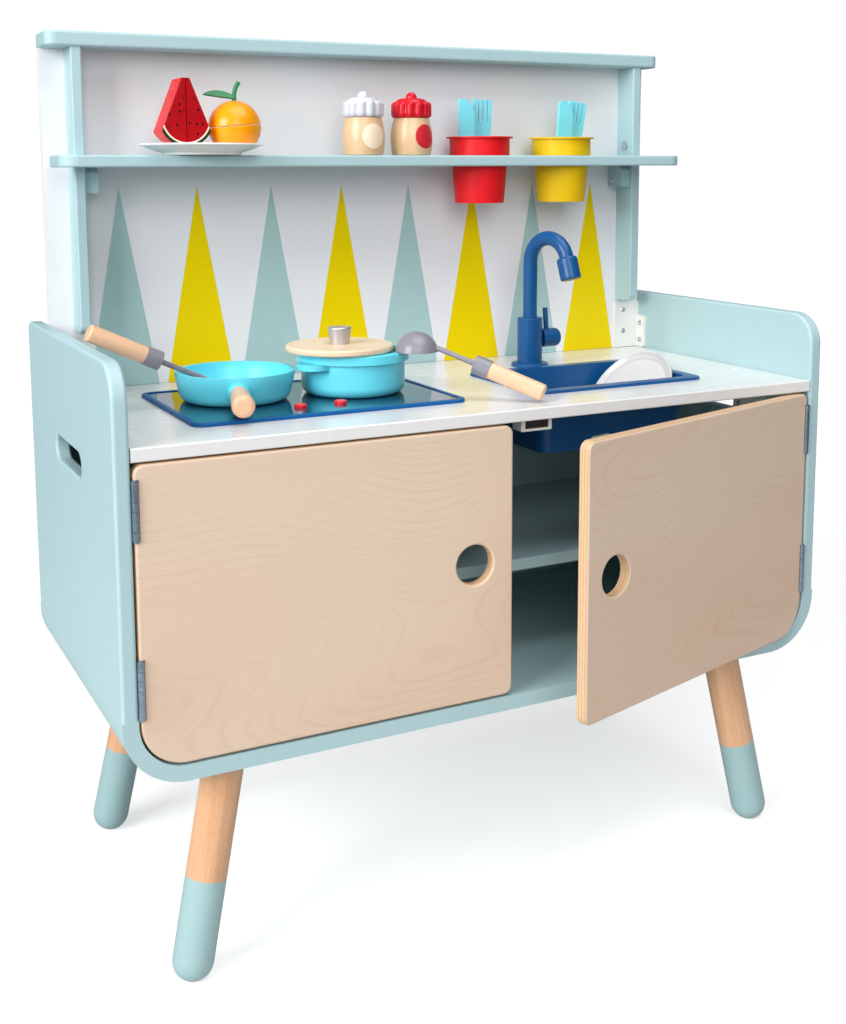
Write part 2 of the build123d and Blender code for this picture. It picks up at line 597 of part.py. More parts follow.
with BuildPart() as shelf_posts:
    with Locations(*[(s * POST_X, BOARD_Y - POST_D, POST_FOOT) for s in SIDES.values()]):
        Box(POST_W, POST_D, BACKBOARD_TOP - POST_FOOT, align=LOW_FRONT)
    fillet(shelf_posts.edges().filter_by(Axis.X).group_by(Axis.Z)[0].group_by(Axis.Y)[0], POST_FOOT_R)
    fillet(shelf_posts.edges().filter_by(Axis.Z).group_by(Axis.Y)[0], EASED_R)
    bore(cleat_screws["left"] + cleat_screws["right"], SCREW_R, SCREW_LONG)
    bore(post_bolt_planes, LEG_BOLT_R, POST_BOLT_DEPTH)
save(shelf_posts.part, "shelf_posts")

with BuildPart() as top_board:
    with BuildSketch(Plane.XY.offset(BACKBOARD_TOP)) as outline:
        with Locations((0, BOARD_Y + (BACKBOARD_T - TOP_BOARD_D) / 2)):
            Rectangle(2 * BOARD_HALF, TOP_BOARD_D + BACKBOARD_T)
        fillet(outline.vertices().group_by(Axis.Y)[0], TOP_BOARD_R)
    extrude(amount=TOP_BOARD_T)
    fillet(top_board.edges().group_by(Axis.Z)[-1], 2.5)
    fillet(top_board.edges().group_by(Axis.Z)[0], 2.5)
save(top_board.part, "top_board")

with BuildPart() as upper_shelf:
    with BuildSketch(Plane.XY.offset(RACK_Z)) as outline:
        with Locations((0, BOARD_Y - RACK_D / 2)):
            Rectangle(2 * BOARD_HALF, RACK_D)
        fillet(outline.vertices().group_by(Axis.Y)[0], RACK_R)
        notch = BOARD_HALF - POST_INNER + RACK_SIDE_CLEAR
        with Locations(*[(s * BOARD_HALF, BOARD_Y) for s in SIDES.values()]):
            Rectangle(2 * notch, 2 * (POST_D + RACK_SIDE_CLEAR), mode=Mode.SUBTRACT)
        with Locations(*[(x, to_back(CUP_Y)) for x in CUP_XS.values()]):
            Circle(CUP_NECK_R + CUP_HOLE_CLEAR, mode=Mode.SUBTRACT)
    extrude(amount=RACK_T)
    fillet(upper_shelf.edges().filter_by(lambda e: e.center().Y < BOARD_Y - POST_D - 3
                                         and e.geom_type != GeomType.CIRCLE
                                         and abs(e.center().Z - RACK_Z - RACK_T / 2) > 1), 2.0)
save(upper_shelf.part, "upper_shelf")

cleat_d = POST_D - CLEAT_FRONT_IN
with BuildPart() as shelf_cleats:
    for s in SIDES.values():
        with Locations((s * (POST_INNER - CLEAT_W / 2), BOARD_Y - cleat_d, RACK_Z - CLEAT_H)):
            Box(CLEAT_W, cleat_d, CLEAT_H, align=LOW_FRONT)
    chamfer(shelf_cleats.edges().filter_by(Axis.X).group_by(Axis.Y)[0].group_by(Axis.Z)[-1], 5.0)
    bore(cleat_screws["left"] + cleat_screws["right"], SCREW_R, SCREW_LONG)
save(shelf_cleats.part, "shelf_cleats")

with BuildPart() as angle_brackets:
    for s in SIDES.values():
        x_out = s * INNER_X
        with Locations((s * (INNER_X - BRACKET_WIDE / 2), BOARD_Y - BRACKET_T, WORKTOP_TOP + BRACKET_LIFT)):
            Box(BRACKET_WIDE, BRACKET_T, BRACKET_TALL, align=LOW_FRONT)
        with Locations((s * (INNER_X - BRACKET_T / 2), BOARD_Y - BRACKET_SIDE_W, WORKTOP_TOP + BRACKET_LIFT)):
            Box(BRACKET_T, BRACKET_SIDE_W, BRACKET_SIDE_H, align=LOW_FRONT)
        y0 = to_back(TOP_BRACKET_Y) - TOP_BRACKET_LONG / 2
        with Locations((s * (INNER_X - TOP_BRACKET_W / 2), y0, WORKTOP_Z - BRACKET_T)):
            Box(TOP_BRACKET_W, TOP_BRACKET_LONG, BRACKET_T, align=LOW_FRONT)
        with Locations((s * (INNER_X - BRACKET_T / 2), y0, WORKTOP_Z - TOP_BRACKET_DROP)):
            Box(BRACKET_T, TOP_BRACKET_LONG, TOP_BRACKET_DROP, align=LOW_FRONT)
    upper_front = angle_brackets.edges().filter_by(Axis.X).filter_by(lambda e: e.center().Z > WORKTOP_TOP
                                                                     and e.center().Y < BOARD_Y - 10)
    fillet(upper_front, BRACKET_NOSE_R)
    lower_corners = angle_brackets.edges().filter_by(Axis.X).filter_by(lambda e: e.center().Z < WORKTOP_Z - 30)
    fillet(lower_corners, BRACKET_FOOT_R)
    bore(board_screws + side_screws["left"] + side_screws["right"] + top_screws, SCREW_R, SCREW_SHORT)
save(angle_brackets.part, "angle_brackets")

with BuildPart() as fasteners:
    add_screws(board_screws + side_screws["left"] + side_screws["right"] + top_screws, SCREW_SHORT)
    add_screws(cleat_screws["left"] + cleat_screws["right"], SCREW_LONG)
    with Locations(*bolt_planes):
        Cylinder(LEG_BOLT_R, LEG_BOLT_L, align=(Align.CENTER, Align.CENTER, Align.MAX))
    with Locations(*post_bolt_planes):
        Cylinder(LEG_BOLT_R, POST_BOLT_DEPTH, align=(Align.CENTER, Align.CENTER, Align.MAX))
        Cylinder(LEG_BOLT_R + BOLT_HEAD_RIM, BOLT_HEAD_H, align=MIN_ALIGN)
save(fasteners.part, "fasteners")

# ---------------------------------------------------------------- doors, hinges and catches
HINGE_ZS = (HINGE_LOWER_Z, HINGE_UPPER_Z)
KNUCKLE_H = HINGE_LENGTH / HINGE_KNUCKLES
CATCH_Y = FRONT + DOOR_T + STRIKE_T + CATCH_GAP + MAGNET_PROUD
CATCH_Z = WORKTOP_Z - CATCH_H


def rest_pose(part, side):
    """The left door rests closed. The right door rests open about its hinge pins."""
    if side == "left":
        return part
    pivot = Axis((HINGE_X, FRONT, 0), (0, 0, 1))
    return part.rotate(pivot, DOOR_OPEN_ANGLE)


for side, s in SIDES.items():
    with BuildPart() as door:
        with BuildSketch(Plane.XZ.offset(-FRONT)) as outline:
            x0, x1 = sorted((s * DOOR_MID_GAP / 2, s * DOOR_OUT_X))
            with Locations(((x0 + x1) / 2, (DOOR_Z0 + DOOR_Z1) / 2)):
                Rectangle(x1 - x0, DOOR_Z1 - DOOR_Z0)
            by_side = sorted(outline.vertices(), key=lambda v: (-round(abs(v.X)), v.Y))
            fillet(by_side[0], MOULDING_R - SIDE_T - DOOR_BOTTOM_GAP)
            fillet([v for v in outline.vertices() if v.Y > DOOR_Z1 - 1 or abs(v.X) < DOOR_MID_GAP], DOOR_CORNER_R)
            with Locations((s * (DOOR_MID_GAP / 2 + DOOR_HOLE_IN), DOOR_HOLE_Z)):
                Circle(DOOR_HOLE_R, mode=Mode.SUBTRACT)
        extrude(amount=-DOOR_T)
        fillet(door.edges().group_by(Axis.Y)[0] + door.edges().group_by(Axis.Y)[-1], DOOR_EDGE_R)
        for z in HINGE_ZS:
            with Locations((s * DOOR_OUT_X, FRONT - 1.0, z - HINGE_LENGTH / 2 - 0.6)):
                Box(2 * (HINGE_LEAF_T + 0.02), HINGE_LEAF_W + 1.3, HINGE_LENGTH + 1.2,
                    align=LOW_FRONT, mode=Mode.SUBTRACT)
                Box(2 * (DOOR_OUT_X - HINGE_X + HINGE_R + 0.5), HINGE_R + 1.6, HINGE_LENGTH + 1.2,
                    align=LOW_FRONT, mode=Mode.SUBTRACT)
    save(rest_pose(door.part, side), f"door_{side}")

    with BuildPart() as strike_plate:
        plane = Plane((s * CATCH_IN, FRONT + DOOR_T, CATCH_Z + CATCH_H / 2), x_dir=(1, 0, 0), z_dir=(0, 1, 0))
        with Locations(plane):
            Box(MAGNET_W, MAGNET_H + 3.0, STRIKE_T, align=MIN_ALIGN)
        fillet(strike_plate.edges().filter_by(Axis.Y), 2.0)
    save(rest_pose(strike_plate.part, side), f"strike_plate_{side}")


def add_knuckles(z, own):
    """The knuckles of one hinge that belong to a leaf: own is 0 or 1, every other one."""
    with Locations(*[(HINGE_X, FRONT, z - HINGE_LENGTH / 2 + k * KNUCKLE_H + HINGE_KNUCKLE_GAP / 2)
                     for k in range(own, HINGE_KNUCKLES, 2)]):
        Cylinder(HINGE_R, KNUCKLE_H - HINGE_KNUCKLE_GAP, align=MIN_ALIGN)


def add_leaf(z, own, x_mid):
    """A leaf plate behind the knuckles, with a web to each knuckle of its own."""
    plate_y = HINGE_R + 0.3
    with Locations((x_mid, FRONT + plate_y, z - HINGE_LENGTH / 2)):
        Box(HINGE_LEAF_T, HINGE_LEAF_W - plate_y, HINGE_LENGTH, align=LOW_FRONT)
    with Locations(*[(x_mid, FRONT + HINGE_PIN_R, z - HINGE_LENGTH / 2 + k * KNUCKLE_H + HINGE_KNUCKLE_GAP / 2)
                     for k in range(own, HINGE_KNUCKLES, 2)]):
        Box(HINGE_LEAF_T, plate_y - HINGE_PIN_R + 0.2, KNUCKLE_H - HINGE_KNUCKLE_GAP, align=LOW_FRONT)


def pin_bore(z):
    with Locations((HINGE_X, FRONT, z - HINGE_LENGTH / 2 - 1.0)):
        Cylinder(HINGE_PIN_R + HINGE_RUN, HINGE_LENGTH + 2.0, align=MIN_ALIGN, mode=Mode.SUBTRACT)


with BuildPart() as frame_leaves:
    for z in HINGE_ZS:
        add_knuckles(z, 0)
        add_leaf(z, 0, INNER_X - HINGE_LEAF_T / 2)
        pin_bore(z)
    mirror(about=Plane.YZ)
save(frame_leaves.part, "hinge_frame_leaves")

with BuildPart() as door_leaves:
    for z in HINGE_ZS:
        add_knuckles(z, 1)
        add_leaf(z, 1, DOOR_OUT_X - HINGE_LEAF_T / 2)
        pin_bore(z)
save(rest_pose(door_leaves.part, "right"), "hinge_door_leaves_right")

with BuildPart() as left_leaves:
    add(door_leaves.part)
    mirror(about=Plane.YZ)
    split(bisect_by=Plane.YZ, keep=Keep.BOTTOM)
save(left_leaves.part, "hinge_door_leaves_left")

with BuildPart() as hinge_pins:
    for z in HINGE_ZS:
        with Locations((HINGE_X, FRONT, z - HINGE_LENGTH / 2)):
            Cylinder(HINGE_PIN_R, HINGE_LENGTH, align=MIN_ALIGN)
            Cylinder(HINGE_R - 0.6, 0.6, align=(Align.CENTER, Align.CENTER, Align.MAX))
        with Locations((HINGE_X, FRONT, z + HINGE_LENGTH / 2)):
            Cylinder(HINGE_R - 0.6, 0.6, align=MIN_ALIGN)
    mirror(about=Plane.YZ)
save(hinge_pins.part, "hinge_pins")

with BuildPart() as catch_housings:
    for s in SIDES.values():
        with Locations((s * CATCH_IN, CATCH_Y, CATCH_Z)):
            Box(CATCH_W, CATCH_D, CATCH_H, align=LOW_FRONT)
    fillet(catch_housings.edges().filter_by(Axis.Y), 1.0)
    with Locations(*[(s * CATCH_IN, CATCH_Y, CATCH_Z + (CATCH_H - MAGNET_H) / 2) for s in SIDES.values()]):
        Box(MAGNET_W, CATCH_D * 0.6, MAGNET_H, align=LOW_FRONT, mode=Mode.SUBTRACT)
save(catch_housings.part, "catch_housings")

with BuildPart() as catch_magnets:
    with Locations(*[(s * CATCH_IN, CATCH_Y - MAGNET_PROUD, CATCH_Z + (CATCH_H - MAGNET_H) / 2)
                     for s in SIDES.values()]):
        Box(MAGNET_W, CATCH_D * 0.6 + MAGNET_PROUD, MAGNET_H, align=LOW_FRONT)
save(catch_magnets.part, "catch_magnets")

# ---------------------------------------------------------------- pan and pot
pan_y = to_back(PAN_Y)
with BuildPart() as pan_body:
    with BuildSketch(Plane.XZ) as wall:
        with BuildLine():
            p0 = (0, COOK_Z)
            p1 = (PAN_BASE_R - 6.0, COOK_Z)
            p2 = (PAN_R - 3.0, COOK_Z + 12.0)
            p3 = (PAN_R, COOK_Z + PAN_H)
            Line(p0, p1)
            Spline(p1, p2, p3, tangents=[(1, 0), (0.03, 1)])
            Line(p3, (PAN_R - PAN_WALL, COOK_Z + PAN_H))
            q2 = (PAN_R - 3.0 - PAN_WALL, COOK_Z + 12.5)
            q1 = (PAN_BASE_R - 7.0, COOK_Z + PAN_WALL)
            Spline((PAN_R - PAN_WALL, COOK_Z + PAN_H), q2, q1, tangents=[(-0.03, -1), (-1, 0)])
            Line(q1, (0, COOK_Z + PAN_WALL))
            Line((0, COOK_Z + PAN_WALL), p0)
        make_face()
    revolve(axis=Axis.Z)
pan_out = heading(PAN_HEADING)
pan_centre = Vector(PAN_X, pan_y, 0)
boss_z = COOK_Z + PAN_H / 2
boss_from = PAN_R - PAN_WALL / 2
with BuildPart() as pan_shell:
    add(pan_body.part.moved(Location(pan_centre)))
    with Locations(Plane(pan_centre + pan_out * boss_from + Vector(0, 0, boss_z), z_dir=pan_out)):
        Cone(HANDLE_R0 + 2.0, HANDLE_R0 - 0.2, 8.0, align=MIN_ALIGN)
save(pan_shell.part, "pan_body")

handle_at = Plane(pan_centre + pan_out * (boss_from + 8.0) + Vector(0, 0, boss_z), z_dir=pan_out)
with BuildPart() as pan_handle:
    with Locations(handle_at):
        Cone(HANDLE_R0, HANDLE_R1, PAN_HANDLE_L, align=MIN_ALIGN)
    fillet(pan_handle.edges().sort_by(Axis.Y)[0], 5.0)
save(pan_handle.part, "pan_handle")

pot_y = to_back(POT_Y)
pot_top = COOK_Z + POT_H
with BuildPart() as pot_body:
    with Locations((POT_X, pot_y, COOK_Z)):
        Cylinder(POT_R, POT_H, align=MIN_ALIGN)
    fillet(pot_body.edges().group_by(Axis.Z)[0], 9.0)
    with Locations((POT_X, pot_y, pot_top - POT_RIM_H)):
        Cylinder(POT_RIM_R, POT_RIM_H, align=MIN_ALIGN)
    fillet(pot_body.edges().group_by(Axis.Z)[-1], 1.2)
    for turn in (0, 180):
        out = heading(POT_LUG_HEADING + turn)
        tip = Vector(POT_X, pot_y, pot_top - POT_LUG_BELOW) + out * POT_LUG_REACH
        with Locations(Plane(tip, x_dir=out, z_dir=(0, 0, 1))):
            Cylinder(POT_LUG_R, POT_LUG_T, align=(Align.CENTER, Align.CENTER, Align.MAX))
            Box(POT_LUG_R, 2 * POT_LUG_R, POT_LUG_T, align=(Align.MAX, Align.CENTER, Align.MAX))
    with Locations((POT_X, pot_y, COOK_Z + POT_WALL)):
        Cylinder(POT_R - POT_WALL, POT_H, align=MIN_ALIGN, mode=Mode.SUBTRACT)
save(pot_body.part, "pot_body")

lid_z = pot_top + REST
lid_y = to_back(LID_Y)
lid_shift = math.hypot(LID_X - POT_X, LID_Y - POT_Y)
lid_step_r = POT_R - POT_WALL - lid_shift - LID_STEP_CLEAR
with BuildPart() as pot_lid:
    with Locations((LID_X, lid_y, lid_z)):
        Cylinder(LID_R, LID_T, align=MIN_ALIGN)
    fillet(pot_lid.edges().group_by(Axis.Z)[-1] + pot_lid.edges().group_by(Axis.Z)[0], 2.2)
    with Locations((LID_X, lid_y, lid_z)):
        Cylinder(lid_step_r, LID_STEP_H, align=(Align.CENTER, Align.CENTER, Align.MAX))
save(pot_lid.part, "pot_lid")

with BuildPart() as lid_knob:
    with Locations((LID_X, lid_y, lid_z + LID_T)):
        Cone(LID_KNOB_R * 0.82, LID_KNOB_R, LID_KNOB_H, align=MIN_ALIGN)
    fillet(lid_knob.edges().group_by(Axis.Z)[-1], 1.5)
save(lid_knob.part, "lid_knob")

# ---------------------------------------------------------------- spatula and ladle
# Each is a moulded head with a stem and collar, and a turned beech handle.


def tool_frame(grip_end, grip_dir):
    """Planes along a tool: handle end, and collar start, looking towards the head."""
    return Plane(grip_end, z_dir=grip_dir), Plane(grip_end + grip_dir * GRIP_L, z_dir=grip_dir)


spatula_dir = Vector(0.905, 0.0, -0.425).normalized()
spatula_bend = Vector(PAN_X - 29.5, pan_y, COOK_Z + 21.5)
STEM_FROM_COLLAR = 48.0
spatula_end = spatula_bend - spatula_dir * (GRIP_L + COLLAR_L + STEM_FROM_COLLAR)
grip_plane, collar_plane = tool_frame(spatula_end, spatula_dir)
with BuildPart() as spatula_handle:
    with Locations(grip_plane):
        Cylinder(GRIP_R, GRIP_L, align=MIN_ALIGN)
    fillet(spatula_handle.edges().sort_by(Axis.X)[0], 2.5)
save(spatula_handle.part, "spatula_handle")

BLADE_L, BLADE_W, BLADE_T = 64.0, 34.0, 2.2
blade_tip = Vector(PAN_X + 33.0, pan_y, COOK_Z + PAN_WALL + 2.6)
blade_dir = (blade_tip - spatula_bend).normalized()
blade_normal = blade_dir.cross(Vector(0, 1, 0)) * -1
blade_plane = Plane(spatula_bend, x_dir=blade_dir, z_dir=blade_normal)
with BuildPart() as spatula_head:
    with Locations(collar_plane):
        Cylinder(COLLAR_R, COLLAR_L, align=MIN_ALIGN)
        Cylinder(STEM_R, COLLAR_L + STEM_FROM_COLLAR, align=MIN_ALIGN)
    with Locations(Plane(spatula_bend, z_dir=blade_dir)):
        Sphere(STEM_R)
    with BuildSketch(blade_plane) as blade_outline:
        with Locations(((blade_tip - spatula_bend).length / 2, 0)):
            RectangleRounded((blade_tip - spatula_bend).length, BLADE_W, 7.0)
    extrude(amount=BLADE_T)
save(spatula_head.part, "spatula_head")

LADLE_X, LADLE_Y = -49.0, 107.0       # bowl centre, Y back from the cabinet front
LADLE_R = 21.3
LADLE_H = 19.5
LADLE_WALL = 1.8
NECK_OUT = 2.5                 # bend of the stem outside the bowl
NECK_RUN = 3.9
NECK_BEND_R = 6.0
ladle_bowl = Vector(LADLE_X, to_back(LADLE_Y), pot_top + REST)
ladle_end = Vector(44.2, to_back(20.6), WORKTOP_TOP + GRIP_R + 0.6)
flat_run = Vector(ladle_end.X - ladle_bowl.X, ladle_end.Y - ladle_bowl.Y, 0).normalized()
ladle_neck = ladle_bowl + flat_run * (LADLE_R + NECK_OUT) + Vector(0, 0, STEM_R + 0.4)
ladle_dir = (ladle_neck - ladle_end).normalized()
grip_plane, collar_plane = tool_frame(ladle_end, ladle_dir)
with BuildPart() as ladle_handle:
    with Locations(grip_plane):
        Cylinder(GRIP_R, GRIP_L, align=MIN_ALIGN)
    fillet(ladle_handle.edges().sort_by(Axis.X)[-1], 2.5)
save(ladle_handle.part, "ladle_handle")

dome_r = (LADLE_R ** 2 + LADLE_H ** 2) / (2 * LADLE_H)
dome_inner = dome_r - LADLE_WALL
dome_drop = dome_r - LADLE_H          # sphere centre below the rim
inner_lip = math.sqrt(dome_inner ** 2 - dome_drop ** 2)
half_turn = math.radians(45)
with BuildPart() as ladle_head:
    with BuildSketch(Plane(ladle_bowl, x_dir=(1, 0, 0), z_dir=(0, -1, 0))):
        with BuildLine():
            ThreePointArc((LADLE_R, 0),
                          (dome_r * math.cos(half_turn), dome_r * math.sin(half_turn) - dome_drop),
                          (0, LADLE_H))
            Line((0, LADLE_H), (0, LADLE_H - LADLE_WALL))
            ThreePointArc((0, LADLE_H - LADLE_WALL),
                          (dome_inner * math.cos(half_turn), dome_inner * math.sin(half_turn) - dome_drop),
                          (inner_lip, 0))
            Line((inner_lip, 0), (LADLE_R, 0))
        make_face()
    revolve(axis=Axis(ladle_bowl, (0, 0, 1)))
    with BuildLine() as stem_path:
        stem_end = ladle_neck - flat_run * NECK_RUN
        FilletPolyline(ladle_end + ladle_dir * GRIP_L, ladle_neck, stem_end, radius=NECK_BEND_R)
    with BuildSketch(collar_plane):
        Circle(STEM_R)
    sweep(path=stem_path.wires()[0])
    with Locations(collar_plane):
        Cylinder(COLLAR_R, COLLAR_L, align=MIN_ALIGN)
save(ladle_head.part, "ladle_head")

# ---------------------------------------------------------------- plates
def dished_plate(radius):
    """A turned plate of the given rim radius, foot on z = 0."""
    foot_r = radius - PLATE_R + PLATE_FOOT_R
    floor_r = radius - PLATE_R + PLATE_FLOOR_R
    with BuildPart() as plate:
        with BuildSketch(Plane.XZ):
            with BuildLine():
                Polyline((0, 0), (foot_r, 0), (foot_r + 1.5, 2.2))
                Spline((foot_r + 1.5, 2.2), (radius - 10.0, PLATE_H - 5.2), (radius, PLATE_H - 1.4))
                Polyline((radius, PLATE_H - 1.4), (radius - 0.6, PLATE_H), (radius - 2.0, PLATE_H))
                Spline((radius - 2.0, PLATE_H), (floor_r + 2.5, PLATE_FLOOR + 0.8), (floor_r, PLATE_FLOOR))
                Polyline((floor_r, PLATE_FLOOR), (0, PLATE_FLOOR), (0, 0))
            make_face()
        revolve(axis=Axis.Z)
    return plate.part


rack_plate_at = Vector(RACK_PLATE_X, to_back(RACK_PLATE_Y), RACK_TOP + REST)
save(dished_plate(PLATE_R).moved(Location(rack_plate_at)), "shelf_plate")

# The smaller plate leans in the sink, its lower edge on the basin's floor.
lean = heading(SINK_PLATE_HEADING)
tilt_sin, tilt_cos = math.sin(math.radians(SINK_PLATE_TILT)), math.cos(math.radians(SINK_PLATE_TILT))
face_dir = lean * tilt_sin + Vector(0, 0, tilt_cos)
sink_floor = SINK_BOTTOM + SINK_WALL
plate_lift = SINK_PLATE_R * tilt_sin + SINK_PLATE_LIFT
sink_plate_at = Vector(SINK_PLATE_X, to_back(SINK_PLATE_Y), sink_floor + plate_lift)
sink_plate_plane = Plane(sink_plate_at - face_dir * PLATE_H, x_dir=lean.cross(Vector(0, 0, 1)), z_dir=face_dir)
save(dished_plate(SINK_PLATE_R).moved(sink_plate_plane.location), "sink_plate")

# ---------------------------------------------------------------- play food
food_z = RACK_TOP + REST + PLATE_FLOOR + REST
melon_y0 = to_back(MELON_Y) - MELON_D / 2
for side, s in SIDES.items():
    with BuildPart() as melon:
        with BuildSketch(Plane.XZ.offset(-melon_y0)):
            with BuildLine():
                cut = MELON_X + s * MELON_SPLIT / 2
                corner = (MELON_X + s * MELON_HALF_W, food_z + MELON_CORNER_H)
                Line((cut, food_z + MELON_H), (MELON_X + s * MELON_TOP_W, food_z + MELON_H))
                Line((MELON_X + s * MELON_TOP_W, food_z + MELON_H), corner)
                TangentArc((cut, food_z), corner, tangent=(s, 0))
                Line((cut, food_z), (cut, food_z + MELON_H))
            make_face()
        extrude(amount=-MELON_D)
        fillet(melon.edges().filter_by(lambda e: abs(e.center().X - cut) > 1), MELON_EDGE_R)
    save(melon.part, f"melon_{side}")

orange_at = Vector(ORANGE_X, to_back(ORANGE_Y), food_z + ORANGE_CUT)
tilt = math.radians(ORANGE_TILT)
split_plane = Plane(orange_at + Vector(0, 0, ORANGE_SPLIT_UP), z_dir=(-math.sin(tilt), 0, math.cos(tilt)))
for name, keep, half_gap in (("orange_bottom", Keep.BOTTOM, -0.5), ("orange_top", Keep.TOP, 0.5)):
    with BuildPart() as orange:
        with Locations(orange_at):
            Sphere(ORANGE_R)
        split(bisect_by=Plane.XY.offset(food_z), keep=Keep.TOP)
        split(bisect_by=split_plane.offset(half_gap * ORANGE_SPLIT), keep=keep)
        split_edges = orange.edges().filter_by(lambda e: abs(e.center().Z - split_plane.origin.Z) < 3)
        fillet(split_edges, ORANGE_EDGE_R)
        if name == "orange_top":
            bore([Plane(orange_at + Vector(0, 0, ORANGE_R))], STEM_BORE_R, 6.0)
    save(orange.part, name)

with BuildPart() as orange_stem:
    stem_base = orange_at + Vector(0, 0, ORANGE_R - 5.0)
    with BuildLine(Plane(stem_base, x_dir=(1, 0, 0), z_dir=(0, -1, 0))) as stem_path:
        first = Line((0, 0), (0, 9.0))
        JernArc(first @ 1, first % 1, 22.0, -40)
    with BuildSketch(Plane(stem_base)):
        Circle(STEM_R_TOP)
    sweep(path=stem_path.wires()[0])
    leaf_base = stem_base + Vector(-1.0, 0, 9.6)
    # A flat moulded leaf, turned half up towards the front.
    with BuildSketch(Plane(leaf_base, x_dir=(1, 0, 0), z_dir=(0, -0.8, 0.6))):
        with BuildLine():
            top_arc = ThreePointArc((1.5, -1.0), (-14.0, 6.0), (-LEAF_L, 1.0))
            ThreePointArc(top_arc @ 1, (-13.0, -2.0), (1.5, -3.8))
            Line((1.5, -3.8), top_arc @ 0)
        make_face()
    extrude(amount=LEAF_T / 2, both=True)
save(orange_stem.part, "orange_stem")

# ---------------------------------------------------------------- shakers
shaker_z = RACK_TOP + REST
shaker_y = to_back(SHAKER_Y)
with BuildPart() as lobe:
    Cylinder(CAP_LOBE_R, CAP_LOBE_H, align=MIN_ALIGN)
    fillet(lobe.edges().filter_by(GeomType.CIRCLE), CAP_LOBE_R - 0.5)
for name, x in (("salt", SALT_X), ("pepper", PEPPER_X)):
    with BuildPart() as body:
        with BuildSketch(Plane.XZ) as section:
            with BuildLine():
                Line((0, 0), (SHAKER_FOOT_R, 0))
                Spline((SHAKER_FOOT_R, 0), (SHAKER_R, SHAKER_H * 0.36), (SHAKER_NECK_R, SHAKER_H))
                Line((SHAKER_NECK_R, SHAKER_H), (0, SHAKER_H))
                Line((0, SHAKER_H), (0, 0))
            make_face()
        revolve(axis=Axis.Z)
        fillet(body.edges().group_by(Axis.Z)[0], 1.2)
    place = Location((x, shaker_y, shaker_z))
    save(body.part.moved(place), f"{name}_body")

    with BuildPart() as cap:
        with BuildSketch(Plane.XZ) as section:
            with BuildLine():
                Line((0, 0.4), (CAP_R - 4.0, 0.4))
                Spline((CAP_R - 4.0, 0.4), (CAP_R - 2.0, CAP_H * 0.45), (CAP_R * 0.55, CAP_H),
                       tangents=[(1, 0.6), (-1, 0.25)])
                Line((CAP_R * 0.55, CAP_H), (0, CAP_H))
                Line((0, CAP_H), (0, 0.4))
            make_face()
        revolve(axis=Axis.Z)
        with Locations((0, 0, CAP_H + 0.5)):
            Sphere(CAP_KNOB_R)
        with PolarLocations(CAP_LOBE_RING, CAP_LOBES):
            add(lobe.part)
        split(bisect_by=Plane.XY.offset(0.4), keep=Keep.TOP)
    save(cap.part.moved(Location((x, shaker_y, shaker_z + SHAKER_H))), f"{name}_cap")

# ---------------------------------------------------------------- cups and cutlery
cup_y = to_back(CUP_Y)
cutlery_y = to_back(CUTLERY_Y)
cup_top = RACK_TOP + REST + CUP_COLLAR_H
cup_foot = RACK_TOP - CUP_DROP
for name, x in CUP_XS.items():
    with BuildPart() as cup:
        with BuildSketch(Plane.XZ) as section:
            with BuildLine():
                Polyline((0, cup_foot), (CUP_FOOT_R, cup_foot), (CUP_NECK_R, RACK_TOP + REST),
                         (CUP_COLLAR_R, RACK_TOP + REST), (CUP_COLLAR_R, cup_top - CUP_WALL),
                         (CUP_FLANGE_R, cup_top - CUP_WALL), (CUP_FLANGE_R, cup_top),
                         (CUP_COLLAR_R - CUP_WALL, cup_top), (CUP_COLLAR_R - CUP_WALL, RACK_TOP + REST + CUP_WALL),
                         (CUP_NECK_R - CUP_WALL, RACK_TOP + REST + CUP_WALL),
                         (CUP_FOOT_R - CUP_WALL, cup_foot + CUP_WALL), (0, cup_foot + CUP_WALL), close=True)
            make_face()
        revolve(axis=Axis.Z)
    save(cup.part.moved(Location((x, cup_y, 0))), f"cup_{name}")

